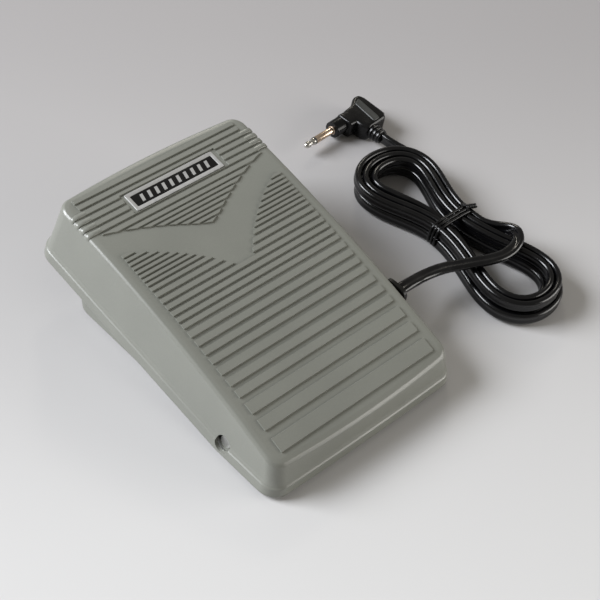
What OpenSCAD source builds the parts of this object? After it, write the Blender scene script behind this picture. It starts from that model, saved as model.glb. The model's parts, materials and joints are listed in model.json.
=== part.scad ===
// Foot control for a sewing machine.  A ribbed treadle cover pivots on two
// side pins near its thin end, over a fixed base tray that holds the return
// springs and the speed control.  Millimetres, +Z up, +Y towards the tall
// end, origin on the floor under the middle of the cover.

/* [Treadle cover] */
// Width of the cover over its rim
cover_w = 106; // [96:1:118]
// Length of the cover over its rim
cover_l = 147.4; // [140:0.2:160]
// Plan radius of the rim's corners
rim_corner_r = 8.3; // [7:0.1:11]
// Height of the upright band around the rim
band_h = 5; // [4:0.25:6.5]
// How far the band flares out towards its foot
band_flare = 0.6; // [0.2:0.1:1]
// Width of the ledge on top of the band
ledge_w = 1.3; // [0.8:0.1:1.8]
// Gap between the floor and the front of the rim
rim_gap = 2; // [1.5:0.25:3]
// Rise of the rim behind the hinge, in degrees
rim_rise = 8.3; // [6.5:0.1:9]
// Height of the top surface over the thin end
thin_h = 15.1; // [14:0.1:18]
// Height of the top surface over the tall end
tall_h = 47.4; // [44:0.2:52]
// Rise of the arched top above its own chord
arch_h = 4.35; // [3:0.05:6]
// Wall thickness of the cover's skirt
cover_t = 1.6; // [1.2:0.1:1.8]
// Thickness of the cover's top
top_t = 2.2; // [1.8:0.1:3]
// Draft of the side walls, in degrees
side_draft = 5; // [3:0.5:6]
// Draft of the thin end's wall, in degrees
thin_draft = 9; // [5:0.5:12]
// Draft of the tall end's wall, in degrees
tall_draft = 7.1; // [4:0.1:9]
// Width of the bevel around the top
bevel_w = 3; // [2:0.25:4]
// Drop of the bevel around the top
bevel_drop = 2; // [1:0.25:3]
// Outward bow of the end walls' upper edges
end_bow = 1.5; // [0.5:0.1:2.5]
// Softening of the bevel's two creases
crease_r = 0.6; // [0.3:0.1:1]
// Softening of the band's upper edge
edge_r = 0.4; // [0.2:0.1:0.6]

/* [Ribs and label] */
// Height of the foot ribs
rib_h = 0.65; // [0.4:0.05:1]
// Half length of the foot ribs
rib_reach = 43.3; // [40:0.1:44]
// Share of each pitch that its rib fills
rib_share = 0.67; // [0.5:0.01:0.75]
// Number of ribs at the tall end that wrap over the side bevels
wrapped_ribs = 4; // [0:1:6]
// Length of the label plate
label_l = 47.5; // [40:0.5:52]
// Width of the label plate
label_w = 9.25; // [7:0.25:10]
// Thickness of the label plate
label_t = 0.9; // [0.6:0.1:1.4]
// Distance of the label plate's middle from the tall end
label_in = 21.8; // [20:0.1:24]
// Least distance of a rib from the thin end
rib_margin = 5; // [4:0.5:8]
// Distance of the chevron's point from the tall end
chevron_in = 67.8; // [64:0.2:72]

/* [Hinge] */
// Distance of the hinge from the thin end
hinge_y = 31.3; // [28:0.1:33]
// Height of the hinge above the floor
hinge_z = 7; // [6.5:0.1:8]
// Diameter of the hinge pins
hinge_pin_d = 5.4; // [4:0.1:6]
// Diameter of the sunk seat around each pin's end
hinge_sink_d = 7.4; // [6.6:0.1:8]
// Depth of the sunk seat below the skirt's ledge line
hinge_sink = 1.1; // [0.6:0.1:1.4]
// Running clearance on the hinge pin's radius
hinge_play = 0.05; // [0.02:0.01:0.1]
// Travel of the treadle, in degrees
travel = 5.5; // [4:0.25:6]

/* [Base tray] */
// Gap between the tray's sides and the widest line of the cover's rim
base_side_gap = 4.5; // [4:0.25:6]
// Distance of the tray's thin end from the cover's thin end
base_start = 4.5; // [3.5:0.5:8]
// How far the tray stops short of the cover's tall end
base_short = 21.9; // [18:0.1:25]
// Lean of the tray's tall end wall, measured at its top
base_lean = 3.5; // [0:0.5:5]
// Wall thickness of the tray
base_t = 1.8; // [1.4:0.1:2.2]
// Height of the tray's underside above the floor
base_lift = 1; // [0.5:0.25:1.5]
// How far the tray's wall reaches up inside the rim
base_lap = 2; // [1:0.25:2.5]

/* [Springs and stops] */
// Distance of each return spring from the middle
spring_x = 26; // [20:1:30]
// Distance of the return springs from the thin end
spring_y = 105; // [98:1:110]
// Coil radius of the return springs
spring_r = 5.4; // [5:0.1:6.2]
// Wire diameter of the return springs
spring_wire = 1.1; // [0.8:0.1:1.3]
// Turns of the return springs
spring_turns = 6; // [4:1:8]
// Height of the towers that the return springs stand on
tower_h = 13; // [12:0.5:14]
// Thickness of the rubber washer on each tower
washer_t = 1.5; // [1:0.1:2]

/* [Speed control] */
// Distance of the speed control from the thin end
control_y = 80; // [76:1:84]
// Width of the control's case
case_w = 18; // [15:0.5:24]
// Height of the control's case
case_h = 15; // [14:0.5:16]
// Diameter of the plunger's stem
stem_d = 5; // [4:0.5:6]
// Thickness of the circuit board
board_t = 1.6; // [1.2:0.2:2]
// Height of the board above the tray's floor
board_lift = 2.2; // [1.8:0.1:3]
// Reach of the board to the left of the control
board_left = 34; // [32:1:40]
// Reach of the board to the right of the control
board_right = 24; // [22:1:28]
// Reach of the board from the control towards the thin end
board_thin = 30; // [29:1:32]
// Reach of the board from the control towards the tall end
board_tall = 14; // [12:1:15]
// Distance of the board's screws from its edges
board_edge = 4; // [3.5:0.25:6]
// Diameter of the screws inside the tray
screw_d = 2.6; // [2:0.2:3]

/* [Feet and gland] */
// Diameter of the rubber feet
foot_d = 10; // [8:0.5:12]
// Thickness of the rubber feet
foot_t = 2.2; // [1.8:0.1:3]
// Distance of the cord gland from the thin end
gland_y = 41.7; // [41:0.1:46]
// Height of the cord gland above the floor
gland_z = 17; // [16:0.25:17.5]
// Length of the gland's flange along the skirt
flange_l = 11.5; // [11:0.5:14]
// Height of the gland's flange
flange_h = 10; // [8:0.5:11]
// Thickness of the gland's flange
flange_t = 2.5; // [1.5:0.25:3.5]

/* [Plug] */
// Diameter of the plug's shank
jack_d = 3.5; // [2.5:0.1:3.5]
// Length of the plug's shank outside its collar
jack_l = 19; // [15:0.5:20]
// Length of the plug's body along the cord
plug_l = 20; // [18:0.5:22]
// Thickness of the plug's body
plug_t = 10.4; // [9:0.2:12]

/* [Hidden] */

round_fn = 48;
cord_w = 5.8;                                 // the cord's flat section
cord_t = 3;
seat = 0.3;                                   // small gap between a moving piece and its stop
base_w = cover_w - 2 * base_side_gap;
base_end = cover_l - base_short;

// ---- the skirt's levels -------------------------------------------------------------------
bend_y = hinge_y + 1.6;                       // where the rim starts to rise
function rim_z(y) = rim_gap + max(0, y - bend_y) * tan(rim_rise);
function ledge_z(y) = rim_z(y) + band_h;
function top_z(y) = thin_h + (tall_h - thin_h) * y / cover_l
    + 4 * arch_h * (y / cover_l) * (1 - y / cover_l);
function crease_z(y) = top_z(y) - bevel_drop;
function top_slope(y) = atan((top_z(y + 0.5) - top_z(y - 0.5)));

// ---- outlines -----------------------------------------------------------------------------
// Half of a rounded outline, from the middle of the thin end round +X to the tall end.
// The ends bow outward by bow; the side has a station at the rim's bend.
end_steps = 3;
corner_steps = 6;
function half_outline(hw, y0, y1, r, bow) = let(
        flat = hw - r,
        s0 = y0 + bow + r,
        s1 = y1 - bow - r,
        near = [for (i = [0:end_steps - 1]) let(x = flat * i / end_steps)
            [x, y0 + bow * pow(x / flat, 2)]],
        turn_a = [for (i = [0:corner_steps]) let(a = -90 + 90 * i / corner_steps)
            [flat + r * cos(a), s0 + r * sin(a)]],
        side = concat([for (i = [1:2]) s0 + (bend_y - s0) * i / 3], [bend_y],
            [for (i = [1:9]) bend_y + (s1 - bend_y) * i / 10]),
        turn_b = [for (i = [0:corner_steps]) let(a = 90 * i / corner_steps)
            [flat + r * cos(a), s1 + r * sin(a)]],
        far = [for (i = [end_steps - 1:-1:0]) let(x = flat * i / end_steps)
            [x, y1 - bow * pow(x / flat, 2)]])
    concat(near, turn_a, [for (y = side) [hw, y]], turn_b, far);

function mirrored(half) = let(n = len(half))
    concat(half, [for (i = [n - 2:-1:1]) [-half[i][0], half[i][1]]]);

// ---- lofts --------------------------------------------------------------------------------
// A closed skin through rings of equal length, with strips across the first and last ring.
function strip_faces(first, n, flip) = let(half = n / 2)
    [for (i = [0:half - 1]) let(
            a = first + i,
            b = first + i + 1,
            c = first + (n - i - 1) % n,
            d = first + (n - i) % n)
        each (i == 0 ? (flip ? [[a, c, b]] : [[a, b, c]])
            : i == half - 1 ? (flip ? [[a, d, b]] : [[a, b, d]])
            : flip ? [[a, d, c], [a, c, b]] : [[a, b, c], [a, c, d]])];

module loft(rings) {
    n = len(rings[0]);
    points = [for (ring = rings) each ring];
    walls = [for (k = [0:len(rings) - 2], i = [0:n - 1]) let(
            a = k * n + i,
            b = k * n + (i + 1) % n)
        each [[a, a + n, b + n], [a, b + n, b]]];
    polyhedron(points, concat(strip_faces(0, n, false), walls,
        strip_faces((len(rings) - 1) * n, n, true)));
}

// A tube of oval section swept along a path.  roll turns the section about the path.
function unit(v) = v / norm(v);
function path_dir(path, i) = unit(path[min(i + 1, len(path) - 1)] - path[max(i - 1, 0)]);
function tube_ring(path, i, w, h, sides, roll) = let(
        t = path_dir(path, i),
        s = unit(cross(t, [0, 0, 1])),
        u = cross(s, t))
    [for (k = [0:sides - 1]) let(
            a = 360 * (k + 0.5) / sides,
            p = w / 2 * cos(a),
            q = h / 2 * sin(a))
        path[i] + s * (p * cos(roll) - q * sin(roll)) + u * (p * sin(roll) + q * cos(roll))];

module tube(path, w, h, sides, rolls = []) {
    n = len(path);
    points = [for (i = [0:n - 1]) each tube_ring(path, i, w, h, sides,
        len(rolls) > 0 ? rolls[i] : 0)];
    walls = [for (i = [0:n - 2], k = [0:sides - 1]) let(
            a = i * sides + k,
            b = i * sides + (k + 1) % sides)
        each [[a, b, b + sides], [a, b + sides, a + sides]]];
    caps = concat([for (k = [1:sides - 2]) [0, k + 1, k]],
        [for (k = [1:sides - 2]) [(n - 1) * sides, (n - 1) * sides + k, (n - 1) * sides + k + 1]]);
    polyhedron(points, concat(walls, caps));
}

// A coil spring standing between two heights.
module coil(r, wire, turns, z0, z1) {
    steps = 10;
    rise = z1 - z0 - wire;
    tube([for (i = [0:turns * steps]) let(a = 360 * i / steps)
        [r * cos(a), r * sin(a), z0 + wire / 2 + rise * i / (turns * steps)]], wire, wire, 6);
}

// Moves what is drawn from the thin end to the middle of the cover.
module centred() {
    translate([0, -cover_l / 2, 0]) children();
}

// A ring of solid material between two heights.
module pipe(r_out, r_in, z0, z1) {
    translate([0, 0, z0]) difference() {
        cylinder(r = r_out, h = z1 - z0, $fn = round_fn);
        translate([0, 0, -1]) cylinder(r = r_in, h = z1 - z0 + 2, $fn = round_fn);
    }
}

module rod(r, z0, z1) {
    translate([0, 0, z0]) cylinder(r = r, h = z1 - z0, $fn = round_fn);
}

// ---- treadle cover ------------------------------------------------------------------------
rim_hw = cover_w / 2;
foot_hw = rim_hw - band_flare - ledge_w;      // half width where the wall stands on the ledge
step_in = band_flare + ledge_w;
wall_r = rim_corner_r - step_in;
top_y0 = step_in + (crease_z(3) - band_h - rim_gap) * tan(thin_draft);
top_y1 = cover_l - step_in - (crease_z(cover_l - 4) - ledge_z(cover_l)) * tan(tall_draft);

// The side walls lean in with height above the ledge.
function lean(p) = let(rise = max(0, crease_z(p[1]) - ledge_z(p[1])))
    [p[0] * (1 - rise * tan(side_draft) / foot_hw), p[1]];

function rim_ring(inset) = [for (p = mirrored(half_outline(rim_hw - inset, inset,
    cover_l - inset, rim_corner_r - inset, 0.5))) [p[0], p[1], rim_z(p[1])]];
function ledge_ring(inset, drop) = [for (p = mirrored(half_outline(rim_hw - inset, inset,
    cover_l - inset, rim_corner_r - inset, 0.5))) [p[0], p[1], ledge_z(p[1]) - drop]];
function crease_ring(inset, drop) = [for (p = mirrored(half_outline(foot_hw - inset,
    top_y0 + inset, top_y1 - inset, max(1, wall_r - inset), end_bow)))
    let(q = lean(p)) [q[0], q[1], top_z(q[1]) - drop]];

module cover_shell() {
    loft([
        crease_ring(cover_t + bevel_w * 0.8, top_t),
        crease_ring(cover_t, bevel_drop + cover_t),
        ledge_ring(step_in + cover_t, cover_t),
        ledge_ring(band_flare + cover_t, cover_t),
        rim_ring(cover_t),
        rim_ring(0),
        ledge_ring(band_flare - edge_r * 0.1, edge_r),
        ledge_ring(band_flare + edge_r, 0),
        ledge_ring(step_in, 0),
        crease_ring(0, bevel_drop + crease_r),
        crease_ring(crease_r * 0.7, bevel_drop - crease_r * 0.7 * bevel_drop / bevel_w),
        crease_ring(bevel_w - crease_r, crease_r * bevel_drop / bevel_w),
        crease_ring(bevel_w + crease_r, 0)]);
}

// Ribs: groups of [how many, pitch], from the tall end towards the thin end.
rib_first = cover_l - 10.9;
rib_groups = [[1, 3.25], [6, 3.25], [1, 2.7], [11, 2.18], [1, 2.6], [6, 3.27], [4, 4.4],
    [3, 5.4], [2, 7.7], [1, 9.9]];
rib_pitches = [for (g = rib_groups, i = [1:g[0]]) g[1]];
function pitch_sum(i) = i <= 0 ? 0 : pitch_sum(i - 1) + rib_pitches[i];
rib_table = [for (i = [0:len(rib_pitches) - 1]) let(y = rib_first - pitch_sum(i))
    if (y >= rib_margin) [y, rib_share * rib_pitches[i]]];

// A rib's piece: a flat bar laid on the arched top.
module on_top(y) {
    translate([0, y, top_z(y)]) rotate([top_slope(y), 0, 0]) children();
}

module rib_bar(y, w) {
    on_top(y + w / 2) translate([-rib_reach, -w / 2, -0.4])
        cube([2 * rib_reach, w, rib_h + 0.4]);
}

// The end of a rib that wraps over the bevel.
module rib_lobe(y, w) {
    yc = y + w / 2;
    x_in = lean([foot_hw - bevel_w, yc])[0];
    tilt = atan(bevel_drop / bevel_w);
    bar = norm([bevel_w, bevel_drop]);
    on_top(yc) {
        translate([rib_reach - 1, -w / 2, -0.4]) cube([x_in - rib_reach + 1.2, w, rib_h + 0.4]);
        translate([x_in, 0, 0]) rotate([0, tilt, 0])
            translate([-0.2, -w / 2, -0.4]) cube([bar, w, rib_h + 0.4]);
    }
}

// The smooth chevron: two swept wings that meet in a rounded point.
function wing(start, r, a0, a1) = [for (i = [0:6]) let(a = a0 + (a1 - a0) * i / 6)
    [start[0] + r * (sin(a0) - sin(a)), start[1] - r * (cos(a0) - cos(a))]];
chevron_y = cover_l - chevron_in;
chevron_depth = 21.6;                         // from the point to the notch between the wings
near_wing_r = 94;                             // radius of the wings' edges nearer the thin end
far_wing_r = 172;                             // radius of their other edges
near_wing_turn = [50, 22];                    // direction of each edge at its root and its tip
far_wing_turn = [29.5, 16];
near_tip = 28;                                // where the edges leave the ribs, past the point
far_tip = 39.2;
chevron_near = wing([4.7, chevron_y + 1.1], near_wing_r, near_wing_turn[0], near_wing_turn[1]);
chevron_far = wing([5.1, chevron_y + chevron_depth + 1.8], far_wing_r, far_wing_turn[0],
    far_wing_turn[1]);
chevron_half = concat([[0, chevron_y]], chevron_near,
    [[rib_reach + 1, chevron_y + near_tip], [rib_reach + 1, chevron_y + far_tip]],
    [for (i = [6:-1:0]) chevron_far[i]], [[0, chevron_y + chevron_depth]]);

module chevron() {
    linear_extrude(height = tall_h + 10) {
        polygon(chevron_half);
        mirror([1, 0, 0]) polygon(chevron_half);
    }
}

label_y = cover_l - label_in;
label_x = 0.6;
label_margin = 0.6;
module label_zone() {
    translate([label_x - label_l / 2 - 2, label_y - label_w / 2 - label_margin, 0])
        cube([label_l + 4, label_w + 2 * label_margin, tall_h + 10]);
}

module foot_ribs() {
    difference() {
        for (i = [0:len(rib_table) - 1]) {
            rib_bar(rib_table[i][0], rib_table[i][1]);
        }
        chevron();
        label_zone();
    }
    for (i = [0:wrapped_ribs - 1]) {
        rib_lobe(rib_table[i + 1][0], rib_table[i + 1][1]);
        mirror([1, 0, 0]) rib_lobe(rib_table[i + 1][0], rib_table[i + 1][1]);
    }
}

// Hinge: a boss inside each side wall carries the pin.
boss_in = base_w / 2 - 1.6;                   // inner face of the boss
boss_r = hinge_z - rim_gap;
pin_end = foot_hw - hinge_sink;               // the pin's outer end, at the floor of the seat
pin_r = hinge_pin_d / 2;

module across(x0, x1, r) {
    translate([x0, hinge_y, hinge_z]) rotate([0, 90, 0]) cylinder(r = r, h = x1 - x0, $fn = round_fn);
}

module both_sides() {
    children();
    mirror([1, 0, 0]) children();
}

// The boss fills the wall's thickness above the ledge and the band's below it.
module hinge_boss() {
    across(boss_in, foot_hw - cover_t / 2, boss_r);
    intersection() {
        across(boss_in, rim_hw - cover_t + 0.2, boss_r);
        translate([0, 0, rim_gap]) cube([rim_hw, cover_l, hinge_z - rim_gap - seat]);
    }
}

// Spring posts: each hangs from the ceiling and takes the limit screw.
post_r = spring_r - spring_wire / 2 - 0.8;
drop_at_spring = (spring_y - hinge_y + post_r) * sin(travel) + 0.1;
tower_top = tower_h + washer_t;
post_end = tower_top + drop_at_spring + seat;
screw_r = screw_d / 2;
stop_bore_r = screw_r + (spring_y - hinge_y) * 0.02;   // room for the screw's tilt
seat_z = top_z(spring_y) - top_t - 3;         // where the spring meets its seat in the cover
seat_r = spring_r + spring_wire / 2 + 1;

module spring_post() {
    translate([spring_x, spring_y, 0]) {
        rod(post_r, post_end, top_z(spring_y) - top_t / 2);
        rod(seat_r, seat_z, top_z(spring_y) - top_t / 2 - seat_r * tan(top_slope(spring_y)));
    }
}

// Pusher over the plunger, with a round tip.
pusher_tip_r = 3;
case_base = base_lift + base_t + board_lift + board_t;
case_top = case_base + case_h;
drop_at_control = (control_y - hinge_y) * sin(travel) + 0.15;
cap_t = 2;
plunger_top = case_top + drop_at_control + 0.5 + cap_t;
pusher_z = plunger_top + 0.15;

module pusher() {
    tip_z = pusher_z + pusher_tip_r;
    translate([0, control_y, 0]) {
        translate([0, 0, tip_z]) sphere(r = pusher_tip_r, $fn = round_fn);
        rod(pusher_tip_r, tip_z, tip_z + 1);
        rod(5, tip_z + 0.5, top_z(control_y) - top_t / 2 - 2);
    }
}

// Slot in the right skirt that the gland's neck passes through.
neck_l = flange_l - 3.5;
neck_h = flange_h - 4.5;
slot_far = gland_y + neck_l / 2 + 0.5;
slot_near = gland_y - neck_l / 2 - seat - (gland_z + neck_h / 2 - hinge_z) * sin(travel);
slot_play = (slot_far - hinge_y) * sin(travel) + seat;

module gland_slot() {
    translate([foot_hw - 5, slot_near, 0])
        cube([12, slot_far - slot_near, gland_z + neck_h / 2 + slot_play]);
}

module treadle_cover() {
    color("#83857e") centred() difference() {
        union() {
            cover_shell();
            foot_ribs();
            both_sides() hinge_boss();
            both_sides() spring_post();
            pusher();
        }
        both_sides() across(boss_in - 1, pin_end, pin_r + hinge_play);
        both_sides() across(pin_end, rim_hw + 1, hinge_sink_d / 2);
        both_sides() translate([spring_x, spring_y, 0]) rod(screw_r, post_end - 1, post_end + 9);
        gland_slot();
        label_pocket();
    }
}

// ---- label plate --------------------------------------------------------------------------
label_sink = label_t / 2;

module label_block(grow, z0, z1) {
    on_top(label_y) translate([label_x - label_l / 2 - grow, -label_w / 2 - grow, z0])
        cube([label_l + 2 * grow, label_w + 2 * grow, z1 - z0]);
}

module label_pocket() {
    label_block(0.05, -label_sink, 5);
}

module label_plate() {
    color("#c9cbc8") centred() difference() {
        label_block(0, -label_sink, label_t - label_sink);
        label_block(-1.7, label_t - label_sink - 0.2, label_t);
    }
}

// ---- base tray ----------------------------------------------------------------------------
base_hw = base_w / 2;
floor_z = base_lift + base_t;                 // top of the tray's floor
tray_r = 8;
function tray_top(y) = rim_z(y) + base_lap;
function tray_ring(inset, out, z, r) = [for (p = mirrored(half_outline(base_hw - inset,
    base_start + inset, base_end + out - inset, r, 0.5))) [p[0], p[1], z < 0 ? tray_top(p[1]) : z]];

// Pillar that holds a hinge pin, inside a notch in the tray's wall.
pillar_t = 8;
pillar_w = 2 * boss_r;
module hinge_pillar() {
    x1 = boss_in - 0.4;
    across(x1 - pillar_t, x1, boss_r);
    translate([x1 - pillar_t, hinge_y - pillar_w / 2, base_lift])
        cube([pillar_t, pillar_w, hinge_z - base_lift]);
}

module hinge_notch() {
    translate([boss_in - 0.4, hinge_y - boss_r - 1, 0])
        cube([10, 2 * boss_r + 2, hinge_z + boss_r + 1]);
}

// Tower under a return spring: a well for the limit screw's head, open below.
head_r = 3.6;
head_t = 1.8;
well_r = head_r + 0.9;
tower_plate = 1.8;

module tower_body() {
    translate([spring_x, spring_y, 0]) rod(seat_r, base_lift, tower_h);
}

module tower_bores() {
    translate([spring_x, spring_y, 0]) {
        rod(well_r, -1, tower_h - tower_plate);
        rod(stop_bore_r, 0, tower_h + 1);
    }
}

// Posts under the circuit board.
board_x0 = -board_left;
board_x1 = board_right;
board_y0 = control_y - board_thin;
board_y1 = min(control_y + board_tall, spring_y - seat_r - 1);
board_z = floor_z + board_lift;
board_screw_at = [[board_x0 + board_edge, board_y0 + board_edge],
    [board_x0 + board_edge, board_y1 - board_edge], [board_x1 - board_edge, board_y1 - board_edge]];

// Wall that the gland is held in.
gland_wall_t = 3;
gland_wall_x = boss_in - 0.4 - gland_wall_t;
gland_wall_w = flange_l + 3.5;
gland_wall_h = gland_z + 4.5;

module gland_wall() {
    translate([gland_wall_x, gland_y - gland_wall_w / 2, base_lift])
        cube([gland_wall_t, gland_wall_w, gland_wall_h - base_lift]);
}

module gland_saddle() {
    translate([gland_wall_x - 1, gland_y - neck_l / 2, gland_z - neck_h / 2])
        cube([gland_wall_t + 2, neck_l, gland_wall_h]);
}

// Shelf that carries the cord inside, under the clamp.
clamp_w = 6;
clamp_h = 5.4;
clamp_x = gland_wall_x - 11;
clamp_gap = 8;
shelf_z = gland_z - cord_t / 2 - 0.5;
module clamp_shelf() {
    translate([clamp_x - clamp_w / 2 - 1, gland_y - clamp_gap - clamp_w / 2, floor_z - 0.5])
        cube([clamp_w + 2, 2 * clamp_gap + clamp_w, shelf_z - floor_z + 0.5]);
}

foot_x = base_hw - 11;
foot_ys = [base_start + 11, base_end - 12];
module at_feet() {
    for (s = [-1, 1], y = foot_ys) {
        translate([s * foot_x, y, 0]) children();
    }
}

module tray_shell() {
    loft([
        tray_ring(0.8, 0, base_lift, tray_r),
        tray_ring(0, base_lean * 0.2, base_lift + 1.2, tray_r),
        tray_ring(0, base_lean, -1, tray_r - 3),
        tray_ring(base_t, base_lean, -1, tray_r - base_t - 3),
        tray_ring(base_t, base_lean * 0.2, floor_z, tray_r - base_t)]);
}

foot_sink = foot_t - base_lift;
module base_tray() {
    color("#7a7b76") centred() difference() {
        union() {
            difference() {
                tray_shell();
                both_sides() hinge_notch();
            }
            both_sides() hinge_pillar();
            both_sides() tower_body();
            for (p = board_screw_at) translate([p[0], p[1], 0]) rod(3.2, floor_z - 0.5, board_z);
            gland_wall();
            clamp_shelf();
            at_feet() rod(foot_d / 2 + 1.2, base_lift, floor_z + foot_sink);
        }
        both_sides() across(pin_end - pin_len, rim_hw, pin_r);
        both_sides() tower_bores();
        gland_saddle();
        for (p = board_screw_at) translate([p[0], p[1], 0]) rod(screw_r, base_lift + 0.8, board_z + 1);
        for (s = [-1, 1]) translate([clamp_x, gland_y + s * clamp_gap, 0]) rod(screw_r, shelf_z - 6, shelf_z + 1);
        at_feet() rod(foot_d / 2, 0, base_lift + foot_sink);
    }
}

// ---- hinge pins, springs and stops ----------------------------------------------------------
pin_len = 10;
module hinge_pins() {
    color("#9a9c9b") centred() both_sides() across(pin_end - pin_len, pin_end, pin_r);
}

module spring_at(x) {
    color("#b9bcc0") centred() translate([x, spring_y, 0])
        coil(spring_r, spring_wire, spring_turns, tower_top + 0.05, seat_z - 0.05);
}

module return_spring_left() {
    spring_at(-spring_x);
}

module return_spring_right() {
    spring_at(spring_x);
}

module stop_washers() {
    color("#1d1d1d") centred() both_sides() translate([spring_x, spring_y, 0])
        pipe(seat_r - 0.4, stop_bore_r, tower_h, tower_top);
}

module limit_screws() {
    color("#a7a9ab") centred() both_sides() translate([spring_x, spring_y, 0]) {
        rod(head_r, tower_h - tower_plate - 0.1 - head_t, tower_h - tower_plate - 0.1);
        rod(screw_r, tower_h - tower_plate - 0.6, post_end + 8);
    }
}

// ---- circuit board and speed control --------------------------------------------------------
module circuit_board() {
    color("#7c6a3c") centred() difference() {
        translate([board_x0, board_y0, board_z])
            cube([board_x1 - board_x0, board_y1 - board_y0, board_t]);
        for (p = board_screw_at) translate([p[0], p[1], 0]) rod(screw_r, 0, board_z + board_t + 1);
    }
}

screw_head_t = 1.6;
module pan_screw(z, grip) {
    rod(screw_r, z - grip, z + 0.5);
    rod(screw_r * 1.9, z, z + screw_head_t);
}

module board_screws() {
    color("#b4b6b8") centred() for (p = board_screw_at) {
        translate([p[0], p[1], 0]) pan_screw(board_z + board_t, board_t + board_lift);
    }
}

case_t = 1.4;
case_l = case_w;
lid_t = 1.6;
carrier_h = 4;
carrier_w = case_w - 2 * case_t - 3.2;        // leaves room for the strip and the wiper
carrier_top = case_top - lid_t - 0.3;
carrier_z = carrier_top - carrier_h;
stem_r = stem_d / 2;

module case_block(inset, z0, z1) {
    translate([-case_w / 2 + inset, control_y - case_l / 2 + inset, z0])
        cube([case_w - 2 * inset, case_l - 2 * inset, z1 - z0]);
}

module control_case() {
    color("#26282a") centred() difference() {
        case_block(0, case_base, case_top - lid_t);
        case_block(case_t, case_base + case_t, case_top);
    }
}

module control_lid() {
    color("#d8d2bf") centred() difference() {
        case_block(0, case_top - lid_t, case_top);
        translate([0, control_y, 0]) rod(stem_r + 0.08, 0, case_top + 1);
    }
}

strip_t = 0.8;
module resistor_strip() {
    color("#3a2c20") centred() translate([-case_w / 2 + case_t, control_y - 3, case_base + case_t])
        cube([strip_t, 6, case_h - lid_t - case_t]);
}

module plunger() {
    color("#e4e0d4") centred() translate([0, control_y, 0]) {
        translate([-carrier_w / 2, -carrier_w / 2, carrier_z]) cube([carrier_w, carrier_w, carrier_h]);
        rod(stem_r, carrier_top - 0.5, plunger_top - cap_t + 0.5);
        rod(stem_r + 1.5, plunger_top - cap_t, plunger_top);
    }
}

// Two bent brass fingers that rub on the strip.
wiper_gap = 0.1;
module wiper() {
    reach = case_w / 2 - case_t - strip_t - wiper_gap - carrier_w / 2;
    color("#c9a24a") centred() for (s = [-1, 1]) {
        translate([-carrier_w / 2 - reach, control_y + s * 1.6 - 0.5, carrier_z + 0.6])
            rotate([90, 0, 90]) linear_extrude(height = reach)
                polygon([[0, 0], [1, 0], [1, 2.2], [0, 2.2]]);
    }
}

module plunger_spring() {
    color("#b9bcc0") centred() translate([0, control_y, 0])
        coil(3, 0.5, 4, case_base + case_t + 0.05, carrier_z - 0.05);
}

parts_x = -22;                                // middle of the row of parts beside the control
capacitor_r = 4;
module capacitor() {
    color("#2c3e66") centred() translate([parts_x, control_y - 16, 0]) {
        rod(capacitor_r, board_z + board_t, board_z + board_t + 10.5);
        rod(capacitor_r - 0.6, board_z + board_t + 10, board_z + board_t + 11);
    }
}

resistor_r = 1.25;
resistor_l = 6.4;
resistor_pitch = 6;
resistor_lift = 1.6;                          // height of its axis above the board
pigtail_r = 0.35;
pigtail_l = 10.8;
module resistors() {
    color("#b99b6b") centred() for (i = [-1:1]) {
        translate([parts_x, control_y + i * resistor_pitch, board_z + board_t + resistor_lift])
            rotate([0, 90, 0]) {
                cylinder(r = resistor_r, h = resistor_l, center = true, $fn = 32);
                cylinder(r = pigtail_r, h = pigtail_l, center = true, $fn = 16);
            }
        for (s = [-1, 1])
            translate([parts_x + s * (pigtail_l / 2 - pigtail_r), control_y + i * resistor_pitch, 0])
                rod(pigtail_r, board_z + board_t, board_z + board_t + resistor_lift);
    }
}

block_x = 14;
block_y = control_y - 24;
block_l = 11;
block_w = 8;
block_h = 8;
pole_x = 2.7;                                 // distance of each pole from the block's middle
wire_d = 1.6;
wire_lift = 3;                                // height of the cores' ends above the board
module terminal_block() {
    z = board_z + board_t;
    color("#4d7a58") centred() difference() {
        translate([block_x - block_l / 2, block_y - block_w / 2, z]) cube([block_l, block_w, block_h]);
        for (s = [-1, 1]) translate([block_x + s * pole_x, block_y, 0]) {
            rod(1.5, z + wire_lift + 1.5, z + block_h + 1);
            translate([0, -block_w / 2 - 1, z + wire_lift]) rotate([-90, 0, 0])
                cylinder(r = wire_d / 2 + 0.3, h = block_w / 2 + 1, $fn = 24);
        }
    }
}

// Two insulated cores from the clamp to the terminal block.
core_l = 5;                                   // length of cord inside the clamp
core_gap = 1.4;                               // distance of each core from the cord's middle
core_bend = 2.5;                              // length of each step of a core's bends
core_x = clamp_x - core_l;
wire_z = board_z + board_t + wire_lift;
module lead_wires() {
    color("#a33a2e") centred() for (s = [-1, 1]) {
        y_end = block_y - block_w / 2;
        x_end = block_x + s * pole_x;
        y_in = gland_y - s * core_gap;
        turn_y = min(y_in, y_end) - wire_lift - s * core_gap;
        tube([[core_x, y_in, gland_z], [core_x - core_bend, y_in, gland_z],
            [core_x - 2 * core_bend, y_in - core_bend / 2, gland_z - wire_d],
            [core_x - 3 * core_bend + s * wire_d / 2, turn_y + core_bend / 2, gland_z - 2.5 * wire_d],
            [x_end + wire_d, turn_y, wire_z + wire_d / 2], [x_end, turn_y + core_bend, wire_z],
            [x_end, y_end - wire_d, wire_z], [x_end, y_end, wire_z]], wire_d, wire_d, 8);
    }
}

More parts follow.
